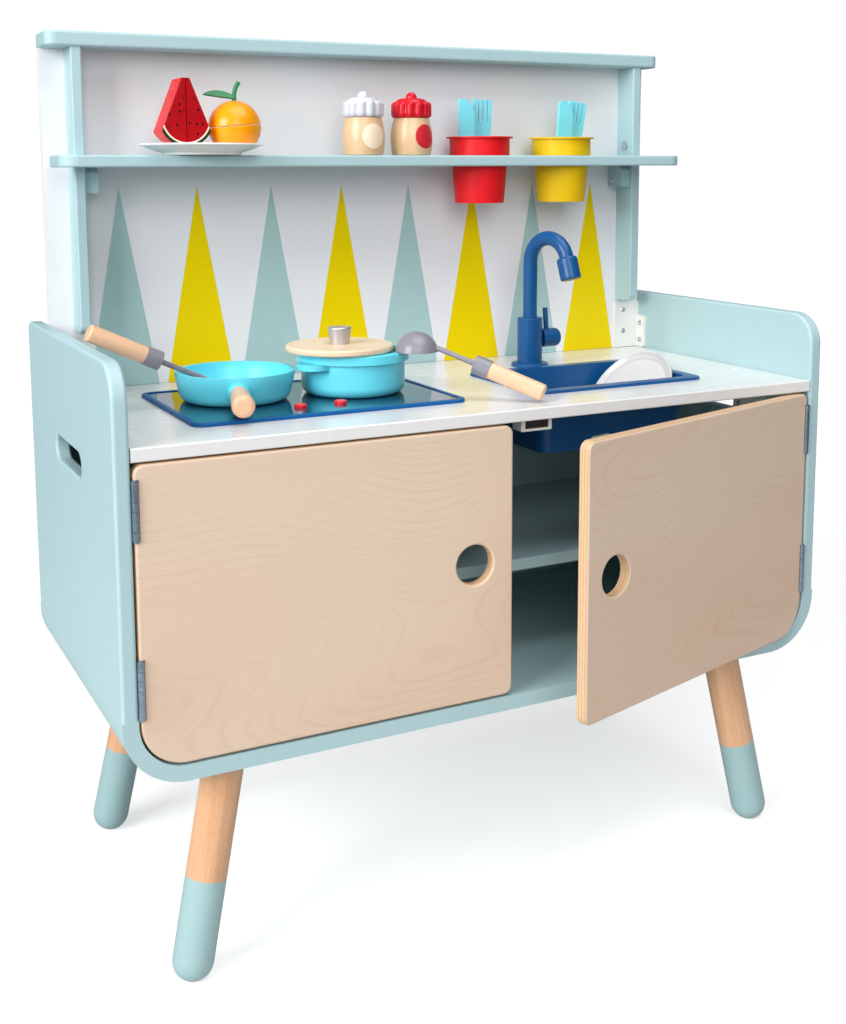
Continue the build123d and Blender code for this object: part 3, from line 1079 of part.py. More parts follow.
CUTLERY_PLACES = {"red": ((-17.0, -2.0), (5.0, 2.0)), "yellow": ((2.5, 4.0), (19.5, 9.0))}
HEAD_Z = CUTLERY_TOP - CUTLERY_HEAD
HANDLE_FOOT = cup_foot + CUP_WALL + 3.0
handle_len = HEAD_Z + 6.0 - HANDLE_FOOT
for name, ((knife_dx, knife_lean), (fork_dx, fork_lean)) in CUTLERY_PLACES.items():
    with BuildPart() as knife:
        with BuildSketch(Plane.XZ.offset(CUTLERY_T / 2)) as outline:
            with Locations((0, -handle_len / 2 + 6.0)):
                Rectangle(CUTLERY_HANDLE_W, handle_len)
            with BuildLine():
                k0 = Line((-KNIFE_W / 2, 0), (KNIFE_W / 2, 0))
                k1 = Line(k0 @ 1, (KNIFE_W / 2, CUTLERY_HEAD * 0.55))
                k2 = ThreePointArc(k1 @ 1, (KNIFE_W * 0.3, CUTLERY_HEAD * 0.86), (0, CUTLERY_HEAD))
                k3 = Line(k2 @ 1, (-KNIFE_W / 2, CUTLERY_HEAD))
                Line(k3 @ 1, k0 @ 0)
            make_face()
            fillet(outline.vertices().group_by(Axis.Y)[-1].sort_by(Axis.X)[0], 4.0)
        extrude(amount=-CUTLERY_T)
    knife_at = Location((CUP_XS[name] + knife_dx, cutlery_y - 3.5, HEAD_Z), (0, knife_lean, 0))
    save(knife.part.moved(knife_at), f"knife_{name}")

    with BuildPart() as fork:
        with BuildSketch(Plane.XZ.offset(CUTLERY_T / 2)) as outline:
            with Locations((0, -handle_len / 2 + 6.0)):
                Rectangle(CUTLERY_HANDLE_W, handle_len)
            with Locations((0, CUTLERY_HEAD / 2)):
                Rectangle(FORK_W, CUTLERY_HEAD)
            fillet(outline.vertices().filter_by(lambda v: abs(abs(v.X) - FORK_W / 2) < 0.1 and v.Y < 1), 6.0)
            with Locations(*[(dx * FORK_W / 4, CUTLERY_HEAD) for dx in (-1, 0, 1)]):
                SlotOverall(FORK_SLOT_L, FORK_SLOT_W, rotation=90, mode=Mode.SUBTRACT)
        extrude(amount=-CUTLERY_T)
    fork_at = Location((CUP_XS[name] + fork_dx, cutlery_y + 3.5, HEAD_Z), (0, fork_lean, 0))
    save(fork.part.moved(fork_at), f"fork_{name}")
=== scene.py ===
import math
import bmesh
import bpy
from mathutils import Matrix, Vector


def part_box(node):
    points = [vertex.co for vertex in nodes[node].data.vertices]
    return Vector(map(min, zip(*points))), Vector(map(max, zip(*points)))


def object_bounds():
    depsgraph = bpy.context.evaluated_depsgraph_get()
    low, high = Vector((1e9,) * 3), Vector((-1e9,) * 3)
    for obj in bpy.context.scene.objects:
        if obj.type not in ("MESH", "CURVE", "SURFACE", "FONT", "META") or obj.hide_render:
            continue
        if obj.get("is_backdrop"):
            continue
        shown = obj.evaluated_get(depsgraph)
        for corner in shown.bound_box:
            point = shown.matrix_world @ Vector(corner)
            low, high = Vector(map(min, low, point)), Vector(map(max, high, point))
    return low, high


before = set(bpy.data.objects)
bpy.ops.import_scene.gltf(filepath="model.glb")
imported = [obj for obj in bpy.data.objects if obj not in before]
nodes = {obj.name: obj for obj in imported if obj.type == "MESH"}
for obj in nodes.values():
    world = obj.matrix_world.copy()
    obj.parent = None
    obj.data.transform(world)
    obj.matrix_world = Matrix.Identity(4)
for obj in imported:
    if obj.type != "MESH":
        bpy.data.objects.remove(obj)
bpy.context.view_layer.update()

# ---------------------------------------------------------------- the painted cabinet boards
# Side panels, lower mouldings, bottom, back, shelves, posts, cleats and top board are MDF. They
# are sprayed with a satin pale teal paint, which leaves a faint orange peel and a cloudy tone.
TEAL = "#ABC9CE"
FRONT_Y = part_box("side_panel_left")[0].y
BACK_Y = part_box("side_panel_left")[1].y


def shade(code):
    """A hex colour as the linear colour a shader socket takes."""
    parts = [int(code[i:i + 2], 16) / 255 for i in (1, 3, 5)]
    return tuple(p / 12.92 if p <= 0.04045 else ((p + 0.055) / 1.055) ** 2.4 for p in parts) + (1.0,)


def add(tree, kind, inputs=None, **settings):
    """Adds a shader node, and links or sets each of the inputs given for it."""
    node = tree.nodes.new("ShaderNode" + kind)
    for name, value in settings.items():
        setattr(node, name, value)
    for name, value in (inputs or {}).items():
        if isinstance(value, bpy.types.NodeSocket):
            tree.links.new(value, node.inputs[name])
        else:
            node.inputs[name].default_value = value
    return node


def calc(tree, operation, a, b=0.0, c=0.0, clamp=False):
    """One step of arithmetic between sockets or numbers."""
    return add(tree, "Math", {0: a, 1: b, 2: c}, operation=operation, use_clamp=clamp).outputs[0]


def blend_colors(tree, factor, a, b, kind="MIX"):
    """Colour a turning into colour b as factor rises."""
    node = add(tree, "Mix", {0: factor, 6: a, 7: b}, data_type="RGBA", blend_type=kind)
    return node.outputs[2]


def stretch(tree, vector, scale, location=(0.0, 0.0, 0.0), rotation=(0.0, 0.0, 0.0)):
    """Coordinates scaled, turned and shifted for a pattern."""
    return add(tree, "Mapping", {"Vector": vector, "Scale": scale, "Location": location,
                                 "Rotation": rotation}).outputs[0]


def noise(tree, vector, scale, detail=2.0, rough=0.5):
    """Soft noise between 0 and 1."""
    return add(tree, "TexNoise", {"Vector": vector, "Scale": scale, "Detail": detail,
                                  "Roughness": rough}).outputs[0]


def ramp(tree, value, low, high, to_low=0.0, to_high=1.0):
    """A smooth step of value between low and high."""
    return add(tree, "MapRange", {0: value, 1: low, 2: high, 3: to_low, 4: to_high},
               interpolation_type="SMOOTHSTEP").outputs[0]


def new_group(name, inputs, outputs):
    """An empty effect group with the named float, color and vector sockets."""
    tree = bpy.data.node_groups.new(name, "ShaderNodeTree")
    kinds = {"f": "NodeSocketFloat", "c": "NodeSocketColor", "v": "NodeSocketVector"}
    for text, way in ((inputs, "INPUT"), (outputs, "OUTPUT")):
        for item in text.split():
            label, kind = item.split(":")
            tree.interface.new_socket(label, in_out=way, socket_type=kinds[kind])
    return tree, tree.nodes.new("NodeGroupInput").outputs, tree.nodes.new("NodeGroupOutput").inputs


def use_group(tree, group, inputs):
    """Places an effect group with its own values and returns its outputs."""
    node = tree.nodes.new("ShaderNodeGroup")
    node.node_tree = group
    for name, value in inputs.items():
        if isinstance(value, bpy.types.NodeSocket):
            tree.links.new(value, node.inputs[name])
        else:
            node.inputs[name].default_value = value
    return node.outputs


def new_material(name, **shader_values):
    """A material, its tree, its shader and its Object coordinates."""
    material = bpy.data.materials.new(name)
    material.use_nodes = True
    tree = material.node_tree
    shader = tree.nodes["Principled BSDF"]
    for key, value in shader_values.items():
        shader.inputs[key.replace("_", " ").title().replace("Ior", "IOR")].default_value = value
    place = tree.nodes.new("ShaderNodeTexCoord").outputs["Object"]
    return material, tree, shader, place


def surface(tree, shader, color=None, rough=None, height=None, depth=0.0001, strength=1.0):
    """Feeds a colour, a roughness and a bump of the given depth in metres to the shader."""
    if color is not None:
        tree.links.new(color, shader.inputs["Base Color"])
    if rough is not None:
        tree.links.new(rough, shader.inputs["Roughness"])
    if height is not None:
        bump = add(tree, "Bump", {"Strength": strength, "Distance": depth, "Height": height})
        tree.links.new(bump.outputs[0], shader.inputs["Normal"])


def finish_nodes(material, slot, *names):
    """Gives CAD pieces their material; the slot argument is not used."""
    for name in names:
        piece = nodes[name]
        piece.data.materials.clear()
        piece.data.materials.append(material)


paint_film, film_in, film_out = new_group("paint_film", "Place:v Paint:c Mottle:f Gloss:f",
                                          "Color:c Roughness:f Height:f")
tone = noise(paint_film, film_in["Place"], 7.0, 3.0)
cloud = noise(paint_film, film_in["Place"], 55.0, 2.0)
tone = calc(paint_film, "ADD", calc(paint_film, "MULTIPLY", tone, 0.7),
            calc(paint_film, "MULTIPLY", cloud, 0.3))
tone = calc(paint_film, "MULTIPLY", calc(paint_film, "SUBTRACT", tone, 0.5), film_in["Mottle"])
brighter = add(paint_film, "HueSaturation",
               {"Color": film_in["Paint"], "Value": calc(paint_film, "ADD", tone, 1.0)})
paint_film.links.new(brighter.outputs[0], film_out["Color"])
peel = noise(paint_film, film_in["Place"], 420.0, 2.0)
fine = noise(paint_film, film_in["Place"], 1500.0, 1.0)
peel = calc(paint_film, "ADD", calc(paint_film, "MULTIPLY", peel, 0.75),
            calc(paint_film, "MULTIPLY", fine, 0.25))
paint_film.links.new(peel, film_out["Height"])
sheen = calc(paint_film, "MULTIPLY", calc(paint_film, "SUBTRACT", cloud, 0.5), 0.16)
paint_film.links.new(calc(paint_film, "ADD", film_in["Gloss"], sheen), film_out["Roughness"])

teal_paint, tree, shader, place = new_material("teal_paint", specular_ior_level=0.35)
film = use_group(tree, paint_film, {"Place": place, "Paint": shade(TEAL), "Mottle": 0.05, "Gloss": 0.45})
surface(tree, shader, film["Color"], film["Roughness"], film["Height"], 0.00006, 0.6)
finish_nodes(teal_paint, "teal_paint", "side_panel_left", "side_panel_right", "corner_mouldings",
             "bottom_panel", "cabinet_back_panel", "inner_shelf", "shelf_posts", "top_board",
             "upper_shelf", "shelf_cleats")

# ---------------------------------------------------------------- worktop
# One white board with a smooth hard lacquer, a little glossier than the cabinet. It is held
# by two angle brackets from below and carries the hob, the sink and the tap.
white_paint, tree, shader, place = new_material("white_paint", specular_ior_level=0.5, coat_weight=0.3,
                                                coat_roughness=0.16)
film = use_group(tree, paint_film, {"Place": place, "Paint": shade("#E6E6E6"), "Mottle": 0.03,
                                    "Gloss": 0.24})
surface(tree, shader, film["Color"], film["Roughness"])
finish_nodes(white_paint, "white_paint", "worktop")

# ---------------------------------------------------------------- backboard
# A white painted board with a row of tall triangles screen printed on its face, pale teal and
# yellow in turn. It stands on the back of the worktop between the side panels.
PRINT_PITCH = 0.082
PRINT_COUNT = 8
PRINT_TIP_Z = 0.692
PRINT_FOOT_Z = 0.490
PRINT_HALF_WIDTH = 0.036
PRINT_EDGE = 0.0004
PRINT_DEPTH = 0.0008
BOARD_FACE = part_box("backboard")[0].y

printed_board, tree, shader, place = new_material("printed_board", specular_ior_level=0.14)
film = use_group(tree, paint_film, {"Place": place, "Paint": shade("#E9E9EC"), "Mottle": 0.03,
                                    "Gloss": 0.36})
axes = add(tree, "SeparateXYZ", {0: place}).outputs
row = calc(tree, "ADD", calc(tree, "DIVIDE", axes["X"], PRINT_PITCH), PRINT_COUNT / 2)
number = calc(tree, "FLOOR", row)
off_centre = calc(tree, "ABSOLUTE", calc(tree, "SUBTRACT", calc(tree, "FRACT", row), 0.5))
off_centre = calc(tree, "MULTIPLY", off_centre, PRINT_PITCH)
half = calc(tree, "MULTIPLY", calc(tree, "SUBTRACT", PRINT_TIP_Z, axes["Z"]),
            PRINT_HALF_WIDTH / (PRINT_TIP_Z - PRINT_FOOT_Z))
inside = ramp(tree, calc(tree, "SUBTRACT", half, off_centre), 0.0, PRINT_EDGE)
on_face = calc(tree, "LESS_THAN", axes["Y"], BOARD_FACE + PRINT_DEPTH)
within = calc(tree, "LESS_THAN", calc(tree, "ABSOLUTE", axes["X"]), PRINT_PITCH * PRINT_COUNT / 2)
inked = calc(tree, "MULTIPLY", inside, calc(tree, "MULTIPLY", on_face, within))
second = calc(tree, "MODULO", number, 2.0)
ink = blend_colors(tree, second, shade("#A6C5C5"), shade("#EDD000"))
ink_tone = noise(tree, stretch(tree, place, (30.0, 30.0, 300.0)), 1.0, 3.0)
ink = blend_colors(tree, calc(tree, "MULTIPLY", ink_tone, 0.10), ink, shade("#FFFFFF"), "OVERLAY")
color = blend_colors(tree, inked, film["Color"], ink)
step = calc(tree, "ADD", calc(tree, "MULTIPLY", inked, 0.6), calc(tree, "MULTIPLY", film["Height"], 0.5))
rough = calc(tree, "ADD", film["Roughness"], calc(tree, "MULTIPLY", inked, -0.06))
surface(tree, shader, color, rough, step, 0.00005, 0.6)
finish_nodes(printed_board, "white_paint", "backboard")

# ---------------------------------------------------------------- turned beech
# The legs are turned from beech, lacquered clear, with ball ends dipped in the teal paint up
# to a fine straight line. The utensil and pan handles are the same wood.
beech_grain, wood_in, wood_out = new_group("beech_grain", "Place:v Light:c Dark:c Contrast:f",
                                           "Color:c Roughness:f Height:f")
# The grain runs along the Z of Place.
broad = noise(beech_grain, stretch(beech_grain, wood_in["Place"], (60.0, 60.0, 5.0)), 1.0, 2.0)
lines = noise(beech_grain, stretch(beech_grain, wood_in["Place"], (420.0, 420.0, 10.0)), 1.0, 3.0)
flecks = noise(beech_grain, stretch(beech_grain, wood_in["Place"], (1500.0, 1500.0, 210.0)), 1.0, 1.0)
flecks = ramp(beech_grain, flecks, 0.60, 0.72)
body = calc(beech_grain, "ADD", calc(beech_grain, "MULTIPLY", broad, 0.6),
            calc(beech_grain, "MULTIPLY", lines, 0.4))
body = ramp(beech_grain, body, 0.34, 0.66)
darker = calc(beech_grain, "ADD", calc(beech_grain, "MULTIPLY", body, 0.6),
              calc(beech_grain, "MULTIPLY", flecks, 0.5))
darker = calc(beech_grain, "MULTIPLY", darker, wood_in["Contrast"], clamp=True)
beech_grain.links.new(blend_colors(beech_grain, darker, wood_in["Light"], wood_in["Dark"]),
                      wood_out["Color"])
beech_grain.links.new(calc(beech_grain, "SUBTRACT", 1.0, flecks), wood_out["Height"])
beech_grain.links.new(calc(beech_grain, "ADD", calc(beech_grain, "MULTIPLY", lines, 0.2), 0.30),
                      wood_out["Roughness"])

LEG_TOP = (0.2773, 0.0342)
LEG_FOOT = (0.3144, 0.0228)
LEG_RUN = 0.1765
LEG_R = 0.0185
LEG_GRAIN_SHIFT = (0.21, 0.37)
PAINT_LINE = 0.0755
PAINT_LINE_BLUR = 0.0003
leg_wood, tree, shader, place = new_material("leg_wood", coat_weight=0.25, coat_roughness=0.15)
axes = add(tree, "SeparateXYZ", {0: place}).outputs
mid_y = (FRONT_Y + BACK_Y) / 2
half_depth = (BACK_Y - FRONT_Y) / 2
lean_x = (LEG_FOOT[0] - LEG_TOP[0]) / LEG_RUN
lean_y = (LEG_TOP[1] - LEG_FOOT[1]) / LEG_RUN
out_x = calc(tree, "SUBTRACT", calc(tree, "ABSOLUTE", axes["X"]), LEG_FOOT[0])
out_y = calc(tree, "SUBTRACT", calc(tree, "ABSOLUTE", calc(tree, "SUBTRACT", axes["Y"], mid_y)),
             half_depth - LEG_FOOT[1])
up = calc(tree, "SUBTRACT", axes["Z"], LEG_R)
across_x = calc(tree, "MULTIPLY_ADD", up, lean_x, out_x)
across_y = calc(tree, "MULTIPLY_ADD", up, lean_y, out_y)
side_x = calc(tree, "MULTIPLY", calc(tree, "SIGN", axes["X"]), LEG_GRAIN_SHIFT[0])
side_y = calc(tree, "MULTIPLY", calc(tree, "SIGN", calc(tree, "SUBTRACT", axes["Y"], mid_y)),
              LEG_GRAIN_SHIFT[1])
along_leg = add(tree, "CombineXYZ", {0: calc(tree, "ADD", across_x, side_x),
                                     1: calc(tree, "ADD", across_y, side_y), 2: up}).outputs[0]
slant = calc(tree, "ADD", calc(tree, "MULTIPLY", out_x, -lean_x), calc(tree, "MULTIPLY", out_y, -lean_y))
height_on_leg = calc(tree, "ADD", slant, up)
painted = ramp(tree, height_on_leg, PAINT_LINE + PAINT_LINE_BLUR,
               PAINT_LINE - PAINT_LINE_BLUR)
wood = use_group(tree, beech_grain, {"Place": along_leg, "Light": shade("#E3B48C"),
                                     "Dark": shade("#C48A5E"), "Contrast": 0.9})
film = use_group(tree, paint_film, {"Place": place, "Paint": shade("#9ABABC"), "Mottle": 0.06,
                                    "Gloss": 0.36})
color = blend_colors(tree, painted, wood["Color"], film["Color"])
rough = add(tree, "Mix", {0: painted, 2: wood["Roughness"], 3: film["Roughness"]}).outputs[0]
height = add(tree, "Mix", {0: painted, 2: calc(tree, "MULTIPLY", wood["Height"], 0.3),
                           3: calc(tree, "ADD", calc(tree, "MULTIPLY", film["Height"], 0.2), 0.8)}).outputs[0]
surface(tree, shader, color, rough, height, 0.00008, 0.7)
finish_nodes(leg_wood, "beech", "legs_front", "legs_rear")

# ---------------------------------------------------------------- doors
# Each door is a 12 mm birch plywood board with a clear matt lacquer. Its face veneer has a calm
# flame figure that runs across the door, and the sanded edges and finger hole show the plies.
DOOR_T = 0.012
PLY = 0.0016
FACE_VENEER = (0.0009, 0.0012)
HINGE_AXIS_X = 0.358
OPEN_ANGLE = math.radians(16.0)

veneer, veneer_in, veneer_out = new_group("birch_veneer", "Place:v Light:c Dark:c Contrast:f",
                                          "Color:c Roughness:f Height:f")
# The grain runs along the X of Place and the flames show on its XZ face.
grain_axes = add(veneer, "SeparateXYZ", {0: veneer_in["Place"]}).outputs
bend = noise(veneer, stretch(veneer, veneer_in["Place"], (2.3, 1.0, 5.0)), 1.0, 1.0, 0.4)
waves = noise(veneer, stretch(veneer, veneer_in["Place"], (11.0, 1.0, 30.0)), 1.0, 2.0)
field = calc(veneer, "MULTIPLY_ADD", grain_axes["Z"], 88.0, calc(veneer, "MULTIPLY", bend, 40.0))
field = calc(veneer, "MULTIPLY_ADD", waves, 1.1, field)
flame = ramp(veneer, calc(veneer, "PINGPONG", field, 0.5), 0.28, 0.5)
thin = ramp(veneer, calc(veneer, "PINGPONG", calc(veneer, "MULTIPLY", field, 2.7), 0.5), 0.3, 0.5)
strong = noise(veneer, stretch(veneer, veneer_in["Place"], (4.0, 1.0, 9.0), (3.1, 0.0, 1.7)), 1.0)
strong = ramp(veneer, strong, 0.3, 0.7)
flame = calc(veneer, "MULTIPLY", flame, calc(veneer, "MULTIPLY_ADD", strong, 0.7, 0.3))
fibre = noise(veneer, stretch(veneer, veneer_in["Place"], (14.0, 500.0, 620.0)), 1.0, 3.0, 0.6)
pores = noise(veneer, stretch(veneer, veneer_in["Place"], (90.0, 900.0, 1500.0)), 1.0, 1.0)
pores = ramp(veneer, pores, 0.62, 0.74)
wide = noise(veneer, stretch(veneer, veneer_in["Place"], (2.5, 1.0, 6.0), (7.0, 0.0, 2.0)), 1.0, 1.0)
dark = calc(veneer, "ADD", calc(veneer, "MULTIPLY", flame, 0.20), calc(veneer, "MULTIPLY", fibre, 0.24))
dark = calc(veneer, "ADD", dark, calc(veneer, "MULTIPLY", thin, 0.06))
dark = calc(veneer, "ADD", dark, calc(veneer, "MULTIPLY", pores, 0.12))
dark = calc(veneer, "ADD", dark, calc(veneer, "MULTIPLY", calc(veneer, "SUBTRACT", wide, 0.5), 0.35))
dark = calc(veneer, "MULTIPLY", dark, veneer_in["Contrast"], clamp=True)
figured = blend_colors(veneer, dark, veneer_in["Light"], veneer_in["Dark"])
rosy = calc(veneer, "MULTIPLY", ramp(veneer, wide, 0.35, 0.7), 0.35)
figured = blend_colors(veneer, rosy, figured,
                       blend_colors(veneer, 1.0, figured, shade("#FFEDE6"), "MULTIPLY"))
veneer.links.new(figured, veneer_out["Color"])
veneer.links.new(calc(veneer, "SUBTRACT", fibre, calc(veneer, "MULTIPLY", pores, 0.5)),
                 veneer_out["Height"])
veneer.links.new(calc(veneer, "MULTIPLY_ADD", fibre, 0.14, 0.38), veneer_out["Roughness"])

for side, pivot, turn in (("left", -HINGE_AXIS_X, 0.0), ("right", HINGE_AXIS_X, OPEN_ANGLE)):
    door_wood, tree, shader, place = new_material(f"door_plywood_{side}", specular_ior_level=0.3)
    flat = add(tree, "Mapping", {"Vector": place, "Location": (pivot, FRONT_Y, 0.0),
                                 "Rotation": (0.0, 0.0, turn)}, vector_type="TEXTURE").outputs[0]
    wood = use_group(tree, veneer, {"Place": flat, "Light": shade("#E0CAB5"), "Dark": shade("#C2A283"),
                                    "Contrast": 0.85})
    depth = add(tree, "SeparateXYZ", {0: flat}).outputs["Y"]
    plies = calc(tree, "PINGPONG", calc(tree, "DIVIDE", depth, PLY), 1.0)
    plies = ramp(tree, plies, 0.35, 0.65)
    end_grain = noise(tree, stretch(tree, flat, (700.0, 200.0, 700.0)), 1.0, 2.0)
    ply_color = blend_colors(tree, plies, shade("#E0C09C"), shade("#CFA880"))
    ply_color = blend_colors(tree, calc(tree, "MULTIPLY", end_grain, 0.15), ply_color, shade("#8F6942"))
    under_face = calc(tree, "MULTIPLY", ramp(tree, depth, FACE_VENEER[0], FACE_VENEER[1]),
                      ramp(tree, depth, DOOR_T - FACE_VENEER[0], DOOR_T - FACE_VENEER[1]))
    color = blend_colors(tree, under_face, wood["Color"], ply_color)
    surface(tree, shader, color, wood["Roughness"], wood["Height"], 0.00008, 0.5)
    finish_nodes(door_wood, "door_plywood", f"door_{side}")

# ---------------------------------------------------------------- hinges, screws and bolts
# Small butt hinges folded from zinc plated steel sheet, with steel pins. The screws, bolts, shelf
# pins and the catches' strike plates are plated steel as well, bright with a bluish cast.
zinc_skin, zinc_in, zinc_out = new_group("zinc_skin", "Place:v Tone:c Gloss:f",
                                         "Color:c Roughness:f Height:f")
spangle = add(zinc_skin, "TexVoronoi", {"Vector": zinc_in["Place"], "Scale": 260.0}).outputs["Distance"]
smear = noise(zinc_skin, zinc_in["Place"], 130.0, 3.0)
grime = ramp(zinc_skin, noise(zinc_skin, zinc_in["Place"], 60.0, 4.0), 0.5, 0.75)
mixed = blend_colors(zinc_skin, calc(zinc_skin, "MULTIPLY", grime, 0.3), zinc_in["Tone"],
                     shade("#4E5A66"))
mixed = blend_colors(zinc_skin, calc(zinc_skin, "MULTIPLY", spangle, 0.25), mixed, shade("#E6ECF2"))
zinc_skin.links.new(mixed, zinc_out["Color"])
zinc_skin.links.new(calc(zinc_skin, "MULTIPLY_ADD", smear, 0.25, zinc_in["Gloss"]),
                    zinc_out["Roughness"])
scratches = noise(zinc_skin, zinc_in["Place"], 2200.0, 1.0)
zinc_skin.links.new(calc(zinc_skin, "ADD", smear, scratches), zinc_out["Height"])

for name, tone, gloss, members in (
        ("zinc_plate", "#8FA1B5", 0.22,
         ("hinge_frame_leaves", "hinge_door_leaves_left", "hinge_door_leaves_right", "hinge_pins",
          "shelf_pins", "strike_plate_left", "strike_plate_right")),
        ("fastener_steel", "#B9BEC4", 0.16, ("fasteners",))):
    metal, tree, shader, place = new_material(name, metallic=1.0)
    skin = use_group(tree, zinc_skin, {"Place": place, "Tone": shade(tone), "Gloss": gloss})
    surface(tree, shader, skin["Color"], skin["Roughness"], skin["Height"], 0.00003, 0.6)
    finish_nodes(metal, "zinc_steel", *members)

# ---------------------------------------------------------------- brackets and catches
# Injection moulded parts with a fine spark-eroded skin. The white ones are the angle brackets,
# screwed into the corners, and the catch housings, each with a black magnet pressed in.
moulded, mould_in, mould_out = new_group("moulded_skin", "Place:v Plastic:c Gloss:f Grain:f",
                                         "Color:c Roughness:f Height:f")
grain = noise(moulded, mould_in["Place"], mould_in["Grain"], 2.0, 0.6)
swirl = noise(moulded, mould_in["Place"], 22.0, 2.0)
handled = noise(moulded, mould_in["Place"], 75.0, 4.0)
value = calc(moulded, "MULTIPLY_ADD", calc(moulded, "SUBTRACT", swirl, 0.5), 0.03, 1.0)
value = calc(moulded, "ADD", value, calc(moulded, "MULTIPLY", calc(moulded, "SUBTRACT", grain, 0.5), 0.05))
toned = add(moulded, "HueSaturation", {"Color": mould_in["Plastic"], "Value": value}).outputs[0]
moulded.links.new(toned, mould_out["Color"])
moulded.links.new(calc(moulded, "MULTIPLY_ADD", ramp(moulded, handled, 0.45, 0.75), 0.09, mould_in["Gloss"]),
                  mould_out["Roughness"])
moulded.links.new(grain, mould_out["Height"])


def plastic(name, code, gloss, grain_scale=1400.0, depth=0.00003, **shader_values):
    """A moulded plastic of one colour."""
    material, tree, shader, place = new_material(name, **shader_values)
    skin = use_group(tree, moulded, {"Place": place, "Plastic": shade(code), "Gloss": gloss,
                                     "Grain": grain_scale})
    surface(tree, shader, skin["Color"], skin["Roughness"], skin["Height"], depth, 0.7)
    return material


finish_nodes(plastic("bracket_plastic", "#E9E9E6", 0.42, specular_ior_level=0.4), "white_plastic",
             "angle_brackets", "catch_housings")
finish_nodes(plastic("ferrite", "#211E1E", 0.55, 900.0), "black_magnet", "catch_magnets")

# ---------------------------------------------------------------- hob
# A sheet of dark blue glossy acrylic with faint wiping marks, laid in a moulded blue tray that
# drops into the worktop. Two small moulded red buttons are stuck on it near the front.
finish_nodes(plastic("tray_plastic", "#0D5894", 0.36, 1700.0, 0.00002, specular_ior_level=0.2),
             "blue_plastic", "hob_tray")
glass, tree, shader, place = new_material("hob_acrylic", coat_weight=0.5, coat_roughness=0.03,
                                          specular_ior_level=0.6)
wipe = noise(tree, stretch(tree, place, (22.0, 60.0, 1.0), rotation=(0.0, 0.0, 0.5)), 1.0, 4.0)
base = blend_colors(tree, calc(tree, "MULTIPLY", wipe, 0.3), shade("#083552"), shade("#0E4A70"))
surface(tree, shader, base, calc(tree, "MULTIPLY_ADD", ramp(tree, wipe, 0.5, 0.8), 0.05, 0.05))
finish_nodes(glass, "hob_glass", "hob_glass")
finish_nodes(plastic("button_plastic", "#DE182C", 0.25, 1500.0, specular_ior_level=0.5), "button_red",
             "hob_buttons")

# ---------------------------------------------------------------- sink and tap
# One deep blue plastic for the basin, the tap and its spout and lever. The tap is pressed into
# a hole behind the basin, which hangs in the worktop by its rim.
finish_nodes(plastic("blue_plastic", "#0C4F88", 0.30, 1700.0, 0.00002, specular_ior_level=0.4),
             "blue_plastic", "sink_basin", "tap_base", "tap_spout", "tap_handle")

# ---------------------------------------------------------------- pan, pot and utensils
# Moulded pans with turned beech handles, a lid cut from maple plywood with a silver painted
# wooden knob, and a grey spatula and ladle pushed into beech grips.
for name, axis_turn in (("pan_handle", (0.0, math.radians(90.0), math.radians(74.5))),
                        ("spatula_handle", (0.0, math.radians(62.0), 0.0)),
                        ("ladle_handle", (0.0, math.radians(70.0), math.radians(-40.0)))):
    handle, tree, shader, place = new_material(f"{name}_beech", coat_weight=0.2, coat_roughness=0.2)
    turned = stretch(tree, place, (1.0, 1.0, 1.0), rotation=axis_turn)
    wood = use_group(tree, beech_grain, {"Place": turned, "Light": shade("#EFC6A3"),
                                         "Dark": shade("#D9A680"), "Contrast": 0.8})
    surface(tree, shader, wood["Color"], wood["Roughness"], wood["Height"], 0.00005, 0.6)
    finish_nodes(handle, "beech", name)

lid_wood, tree, shader, place = new_material("lid_maple", coat_weight=0.1, coat_roughness=0.25)
laid_flat = stretch(tree, place, (1.0, 1.0, 1.0), rotation=(math.radians(90.0), 0.0, 0.0))
wood = use_group(tree, veneer, {"Place": laid_flat, "Light": shade("#E7D1B1"),
                                "Dark": shade("#CBA97E"), "Contrast": 0.8})
surface(tree, shader, wood["Color"], wood["Roughness"], wood["Height"], 0.00006, 0.5)
finish_nodes(lid_wood, "lid_wood", "pot_lid")

silver, tree, shader, place = new_material("silver_lacquer", metallic=0.75)
sparkle = noise(tree, place, 2600.0, 2.0)
brushed = noise(tree, stretch(tree, place, (300.0, 300.0, 40.0)), 1.0, 3.0)
tone = calc(tree, "MULTIPLY_ADD", sparkle, 0.5, calc(tree, "MULTIPLY", brushed, 0.3))
surface(tree, shader, blend_colors(tree, tone, shade("#B4B0B6"), shade("#DAD7D9")),
        calc(tree, "MULTIPLY_ADD", sparkle, 0.2, 0.32), brushed, 0.00005, 0.5)
finish_nodes(silver, "silver_paint", "lid_knob")
finish_nodes(plastic("turquoise_plastic", "#66DFF3", 0.34, 1500.0, specular_ior_level=0.5,
                     coat_weight=0.25, coat_roughness=0.35), "turquoise_plastic", "pan_body", "pot_body")
finish_nodes(plastic("grey_plastic", "#86858F", 0.34, 1500.0, coat_weight=0.2, coat_roughness=0.2),
             "grey_plastic", "spatula_head", "ladle_head")
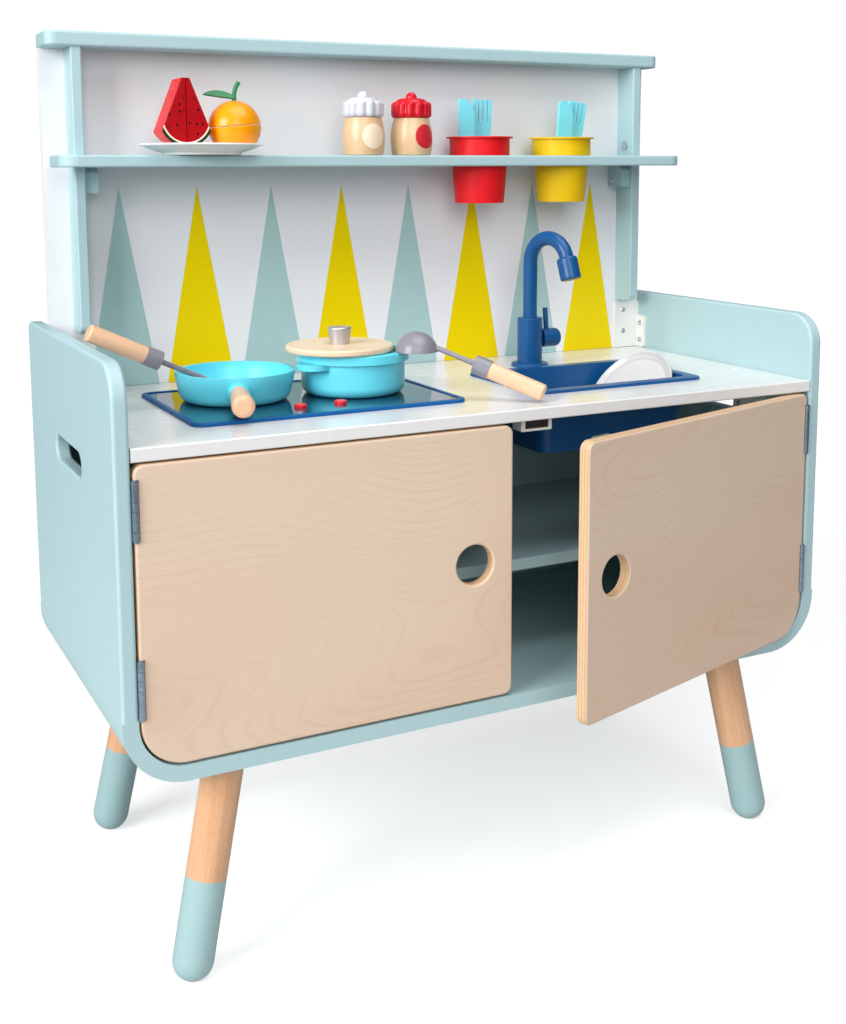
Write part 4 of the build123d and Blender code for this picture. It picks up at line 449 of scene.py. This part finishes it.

# ---------------------------------------------------------------- plates
# Two turned plates in thick white lacquer. One carries the fruit on the shelf, the smaller one
# leans in the sink; its white is painted darker as the shade inside the basin, and its fine grey
# line near the rim is a painted shadow of a small groove.
RING_R = 0.0445
RING_W = 0.0007
# The sink plate's white is darker only as painted shade from the basin around it.
for name, lacquer_white_and_shade in (("shelf_plate", "#EAE9E8"), ("sink_plate", "#CDCCCC")):
    lacquer, tree, shader, place = new_material(f"{name}_lacquer", specular_ior_level=0.5)
    film = use_group(tree, paint_film, {"Place": place, "Paint": shade(lacquer_white_and_shade), "Mottle": 0.03,
                                        "Gloss": 0.23})
    color = film["Color"]
    if name == "sink_plate":
        low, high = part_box(name)
        middle = (low + high) / 2
        # The fine grey ring near the rim is a painted shadow of a small groove.
        apart = add(tree, "VectorMath", {0: place, 1: middle}, operation="DISTANCE").outputs["Value"]
        off_ring = calc(tree, "ABSOLUTE", calc(tree, "SUBTRACT", apart, RING_R))
        groove_shade = calc(tree, "MULTIPLY", ramp(tree, off_ring, RING_W, RING_W * 0.4), 0.6)
        color = blend_colors(tree, groove_shade, color, shade("#A7A4A6"))
    surface(tree, shader, color, film["Roughness"], film["Height"], 0.00002, 0.4)
    finish_nodes(lacquer, "plate_white", name)

# ---------------------------------------------------------------- melon and orange
# Play food of painted wood. The melon slice is cut in two halves, red with printed pips and a
# white and dark green rind on its faces; the orange opens across and has a green stem and leaf.
low_l, high_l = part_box("melon_left")
high_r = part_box("melon_right")[1]
MELON_MID_X = (low_l.x + high_r.x) / 2
MELON_TOP = high_l.z
MELON_FOOT = low_l.z
MELON_HALF = (high_r.x - low_l.x) / 2
CORNER_H = 0.015
RIND_TOP = (0.026, 0.022)
GREEN_RIND = (0.0030, 0.0026)
WHITE_RIND = (0.0046, 0.0040)
PRINT_SKIN = (0.0010, 0.0004)
PIP_EDGE = (0.14, 0.11)
PIPS_OFF_RIND = (0.0060, 0.0070)
PIPS_OFF_TIP = (0.010, 0.012)
PIPS_OFF_SEAM = (0.0016, 0.0022)
melon, tree, shader, place = new_material("melon_print", specular_ior_level=0.12)
axes = add(tree, "SeparateXYZ", {0: place}).outputs
off_x = calc(tree, "ABSOLUTE", calc(tree, "SUBTRACT", axes["X"], MELON_MID_X))
arc_r = (MELON_HALF ** 2 + CORNER_H ** 2) / (2 * CORNER_H)
up_z = calc(tree, "SUBTRACT", axes["Z"], MELON_FOOT + arc_r)
from_centre = calc(tree, "SQRT", calc(tree, "ADD", calc(tree, "MULTIPLY", off_x, off_x),
                                      calc(tree, "MULTIPLY", up_z, up_z)))
from_arc = calc(tree, "SUBTRACT", arc_r, from_centre)
low_down = ramp(tree, axes["Z"], MELON_FOOT + RIND_TOP[0], MELON_FOOT + RIND_TOP[1])
face_y = ramp(tree, axes["Y"], low_l.y + PRINT_SKIN[0], low_l.y + PRINT_SKIN[1])
back_y = ramp(tree, axes["Y"], high_l.y - PRINT_SKIN[0], high_l.y - PRINT_SKIN[1])
on_face = calc(tree, "MAXIMUM", face_y, back_y)
green = calc(tree, "MULTIPLY", ramp(tree, from_arc, *GREEN_RIND), low_down)
white = calc(tree, "MULTIPLY", ramp(tree, from_arc, *WHITE_RIND), low_down)
seed_grid = add(tree, "CombineXYZ", {0: axes["X"], 1: calc(tree, "MULTIPLY", axes["Z"], 0.8)}).outputs[0]
cells = add(tree, "TexVoronoi", {"Vector": seed_grid, "Scale": 112.0, "Randomness": 0.6},
            voronoi_dimensions="2D").outputs["Distance"]
pips = calc(tree, "MULTIPLY", ramp(tree, cells, *PIP_EDGE), ramp(tree, from_arc, *PIPS_OFF_RIND))
below_tip = ramp(tree, axes["Z"], MELON_TOP - PIPS_OFF_TIP[0], MELON_TOP - PIPS_OFF_TIP[1])
beside_seam = ramp(tree, off_x, *PIPS_OFF_SEAM)
pips = calc(tree, "MULTIPLY", pips, calc(tree, "MULTIPLY", below_tip, beside_seam))
red_tone = noise(tree, place, 90.0, 3.0)
red = blend_colors(tree, red_tone, shade("#E0171C"), shade("#D01015"))
flesh = blend_colors(tree, red_tone, shade("#B3131B"), shade("#9E0F17"))
front = blend_colors(tree, white, flesh, shade("#E9DFD2"))
front = blend_colors(tree, green, front, shade("#243A22"))
front = blend_colors(tree, pips, front, shade("#1C1312"))
film = use_group(tree, paint_film, {"Place": place, "Paint": shade("#FFFFFF"), "Mottle": 0.03,
                                    "Gloss": 0.26})
surface(tree, shader, blend_colors(tree, on_face, red, front), film["Roughness"], film["Height"],
        0.00004, 0.5)
finish_nodes(melon, "melon_red", "melon_left", "melon_right")

orange, tree, shader, place = new_material("orange_lacquer", coat_weight=0.25, coat_roughness=0.12,
                                           specular_ior_level=0.3)
film = use_group(tree, paint_film, {"Place": place, "Paint": shade("#F59D02"), "Mottle": 0.08,
                                    "Gloss": 0.3})
dimples = add(tree, "TexVoronoi", {"Vector": place, "Scale": 330.0}).outputs["Distance"]
surface(tree, shader, film["Color"], film["Roughness"],
        calc(tree, "MULTIPLY_ADD", dimples, 0.3, film["Height"]), 0.00003, 0.4)
finish_nodes(orange, "orange_paint", "orange_bottom", "orange_top")

leaf, tree, shader, place = new_material("leaf_felt")
veins = noise(tree, stretch(tree, place, (60.0, 500.0, 200.0)), 1.0, 3.0)
surface(tree, shader, blend_colors(tree, veins, shade("#0F5A38"), shade("#2E9A5E")),
        calc(tree, "MULTIPLY_ADD", veins, 0.2, 0.4), veins, 0.0001, 0.6)
finish_nodes(leaf, "leaf_green", "orange_stem")

# ---------------------------------------------------------------- shakers
# Two turned wooden shakers with a printed plain disc each, pale on one and red on the other.
# Their fluted caps are shaped like cooks' hats and gloss painted.
DISC_R = 0.013
DISC_Z = 0.742
DISC_EDGE = 0.0002
for name, disc_angle, disc_code, cap, cap_code, slot_name in (
        ("salt_body", -84.0, "#F3DDC0", "salt_cap", "#CFCFD9", "cap_white"),
        ("pepper_body", -72.0, "#CC1F30", "pepper_cap", "#CE1226", "cap_red")):
    low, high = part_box(name)
    middle = (low + high) / 2
    reach = (high.x - low.x) / 2
    heading = math.radians(disc_angle)
    shaker, tree, shader, place = new_material(f"{name}_wood", coat_weight=0.3, coat_roughness=0.15)
    wood = use_group(tree, beech_grain, {"Place": place, "Light": shade("#DEBB92"),
                                         "Dark": shade("#CCA073"), "Contrast": 0.6})
    disc_at = (middle.x + reach * math.cos(heading), middle.y + reach * math.sin(heading), DISC_Z)
    apart = add(tree, "VectorMath", {0: place, 1: disc_at}, operation="DISTANCE").outputs["Value"]
    disc = ramp(tree, apart, DISC_R + DISC_EDGE, DISC_R - DISC_EDGE)
    surface(tree, shader, blend_colors(tree, disc, wood["Color"], shade(disc_code)),
            wood["Roughness"], wood["Height"], 0.00004, 0.5)
    finish_nodes(shaker, "shaker_wood", name)
    gloss, tree, shader, place = new_material(f"{cap}_gloss", coat_weight=0.15, coat_roughness=0.1,
                                              specular_ior_level=0.25)
    film = use_group(tree, paint_film, {"Place": place, "Paint": shade(cap_code), "Mottle": 0.05,
                                        "Gloss": 0.26})
    surface(tree, shader, film["Color"], film["Roughness"], film["Height"], 0.00004, 0.5)
    finish_nodes(gloss, slot_name, cap)

# ---------------------------------------------------------------- cups and cutlery
# Two moulded cups, red and yellow, hang by their collars in holes in the upper shelf. A knife
# and a fork in pale turquoise stand in each.
finish_nodes(plastic("red_plastic", "#E3111C", 0.45, 1500.0, specular_ior_level=0.3), "cup_red", "cup_red")
finish_nodes(plastic("yellow_plastic", "#E6BC00", 0.45, 1500.0, specular_ior_level=0.3), "cup_yellow",
             "cup_yellow")
finish_nodes(plastic("cutlery_plastic", "#83E6F6", 0.4, 1500.0, specular_ior_level=0.4),
             "turquoise_plastic", "knife_red", "fork_red", "knife_yellow", "fork_yellow")

# ---------------------------------------------------------------- floor, light and camera
# A round pale floor that fades out into a white backdrop, a large soft light from the left, a
# weaker one from the front and one from above, and the camera at a child's eye level.
FLOOR_EDGE = 1.9
FLOOR_SOLID = 1.0
LAMP_AIM = (0.0, 0.05, 0.45)
CAMERA_AT = (-0.6161, FRONT_Y - 1.0201, 0.7097)
CAMERA_HEADING = -27.0
CAMERA_DIP = 7.8
CAMERA_ROLL = -0.2
disc_shape = bmesh.new()
bmesh.ops.create_circle(disc_shape, cap_ends=True, radius=FLOOR_EDGE, segments=96)
floor_mesh = bpy.data.meshes.new("studio_floor")
disc_shape.to_mesh(floor_mesh)
disc_shape.free()
floor = bpy.data.objects.new("studio_floor", floor_mesh)
bpy.context.scene.collection.objects.link(floor)
floor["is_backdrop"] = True
paper, tree, shader, place = new_material("studio_paper", specular_ior_level=0.1)
surface(tree, shader, blend_colors(tree, noise(tree, place, 3.0), shade("#CACACA"), shade("#D2D2D2")),
        calc(tree, "MULTIPLY_ADD", noise(tree, place, 40.0), 0.1, 0.85))
tree.links.new(blend_colors(tree, noise(tree, place, 3.0), shade("#FDFDFD"), shade("#FFFFFF")),
               shader.inputs["Emission Color"])
tree.links.new(calc(tree, "MULTIPLY", add(tree, "LightPath").outputs["Is Camera Ray"], 0.6),
               shader.inputs["Emission Strength"])
radius = add(tree, "VectorMath", {0: place}, operation="LENGTH").outputs["Value"]
tree.links.new(ramp(tree, radius, FLOOR_EDGE, FLOOR_SOLID), shader.inputs["Alpha"])
floor.data.materials.append(paper)

world = bpy.data.worlds.new("studio")
world.use_nodes = True
paper_seen = world.node_tree.nodes["Background"]
paper_seen.inputs["Color"].default_value = (1.0, 1.0, 1.0, 1.0)
seen = add(world.node_tree, "LightPath").outputs["Is Camera Ray"]
strength = add(world.node_tree, "MapRange", {0: seen, 3: 0.14, 4: 1.05}).outputs[0]
world.node_tree.links.new(strength, paper_seen.inputs["Strength"])
bpy.context.scene.world = world
for name, spot, size, power in (("key_light", (-3.1, -1.0, 1.7), 1.9, 122.0),
                                ("front_light", (-0.9, -3.2, 1.9), 1.8, 41.0),
                                ("top_light", (0.2, -0.7, 3.0), 2.2, 53.0)):
    lamp = bpy.data.lights.new(name, "AREA")
    lamp.size = size
    lamp.energy = power
    holder = bpy.data.objects.new(name, lamp)
    holder.location = spot
    holder.rotation_euler = (Vector(LAMP_AIM) - Vector(spot)).to_track_quat("-Z", "Y").to_euler()
    bpy.context.scene.collection.objects.link(holder)

view = bpy.context.scene.view_settings
view.view_transform = "Standard"
lens = bpy.data.cameras.new("camera")
lens.sensor_width = 36.0
lens.lens = 45.77
lens.shift_x = 0.0001
lens.shift_y = -0.1627
lens.clip_start = 0.05
camera = bpy.data.objects.new("camera", lens)
bpy.context.scene.collection.objects.link(camera)
heading = Matrix.Rotation(math.radians(CAMERA_HEADING), 4, "Z")
pitch = Matrix.Rotation(math.radians(90.0 - CAMERA_DIP), 4, "X")
roll = Matrix.Rotation(math.radians(CAMERA_ROLL), 4, "Z")
camera.matrix_world = Matrix.Translation(CAMERA_AT) @ heading @ pitch @ roll
bpy.context.scene.camera = camera

low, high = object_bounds()
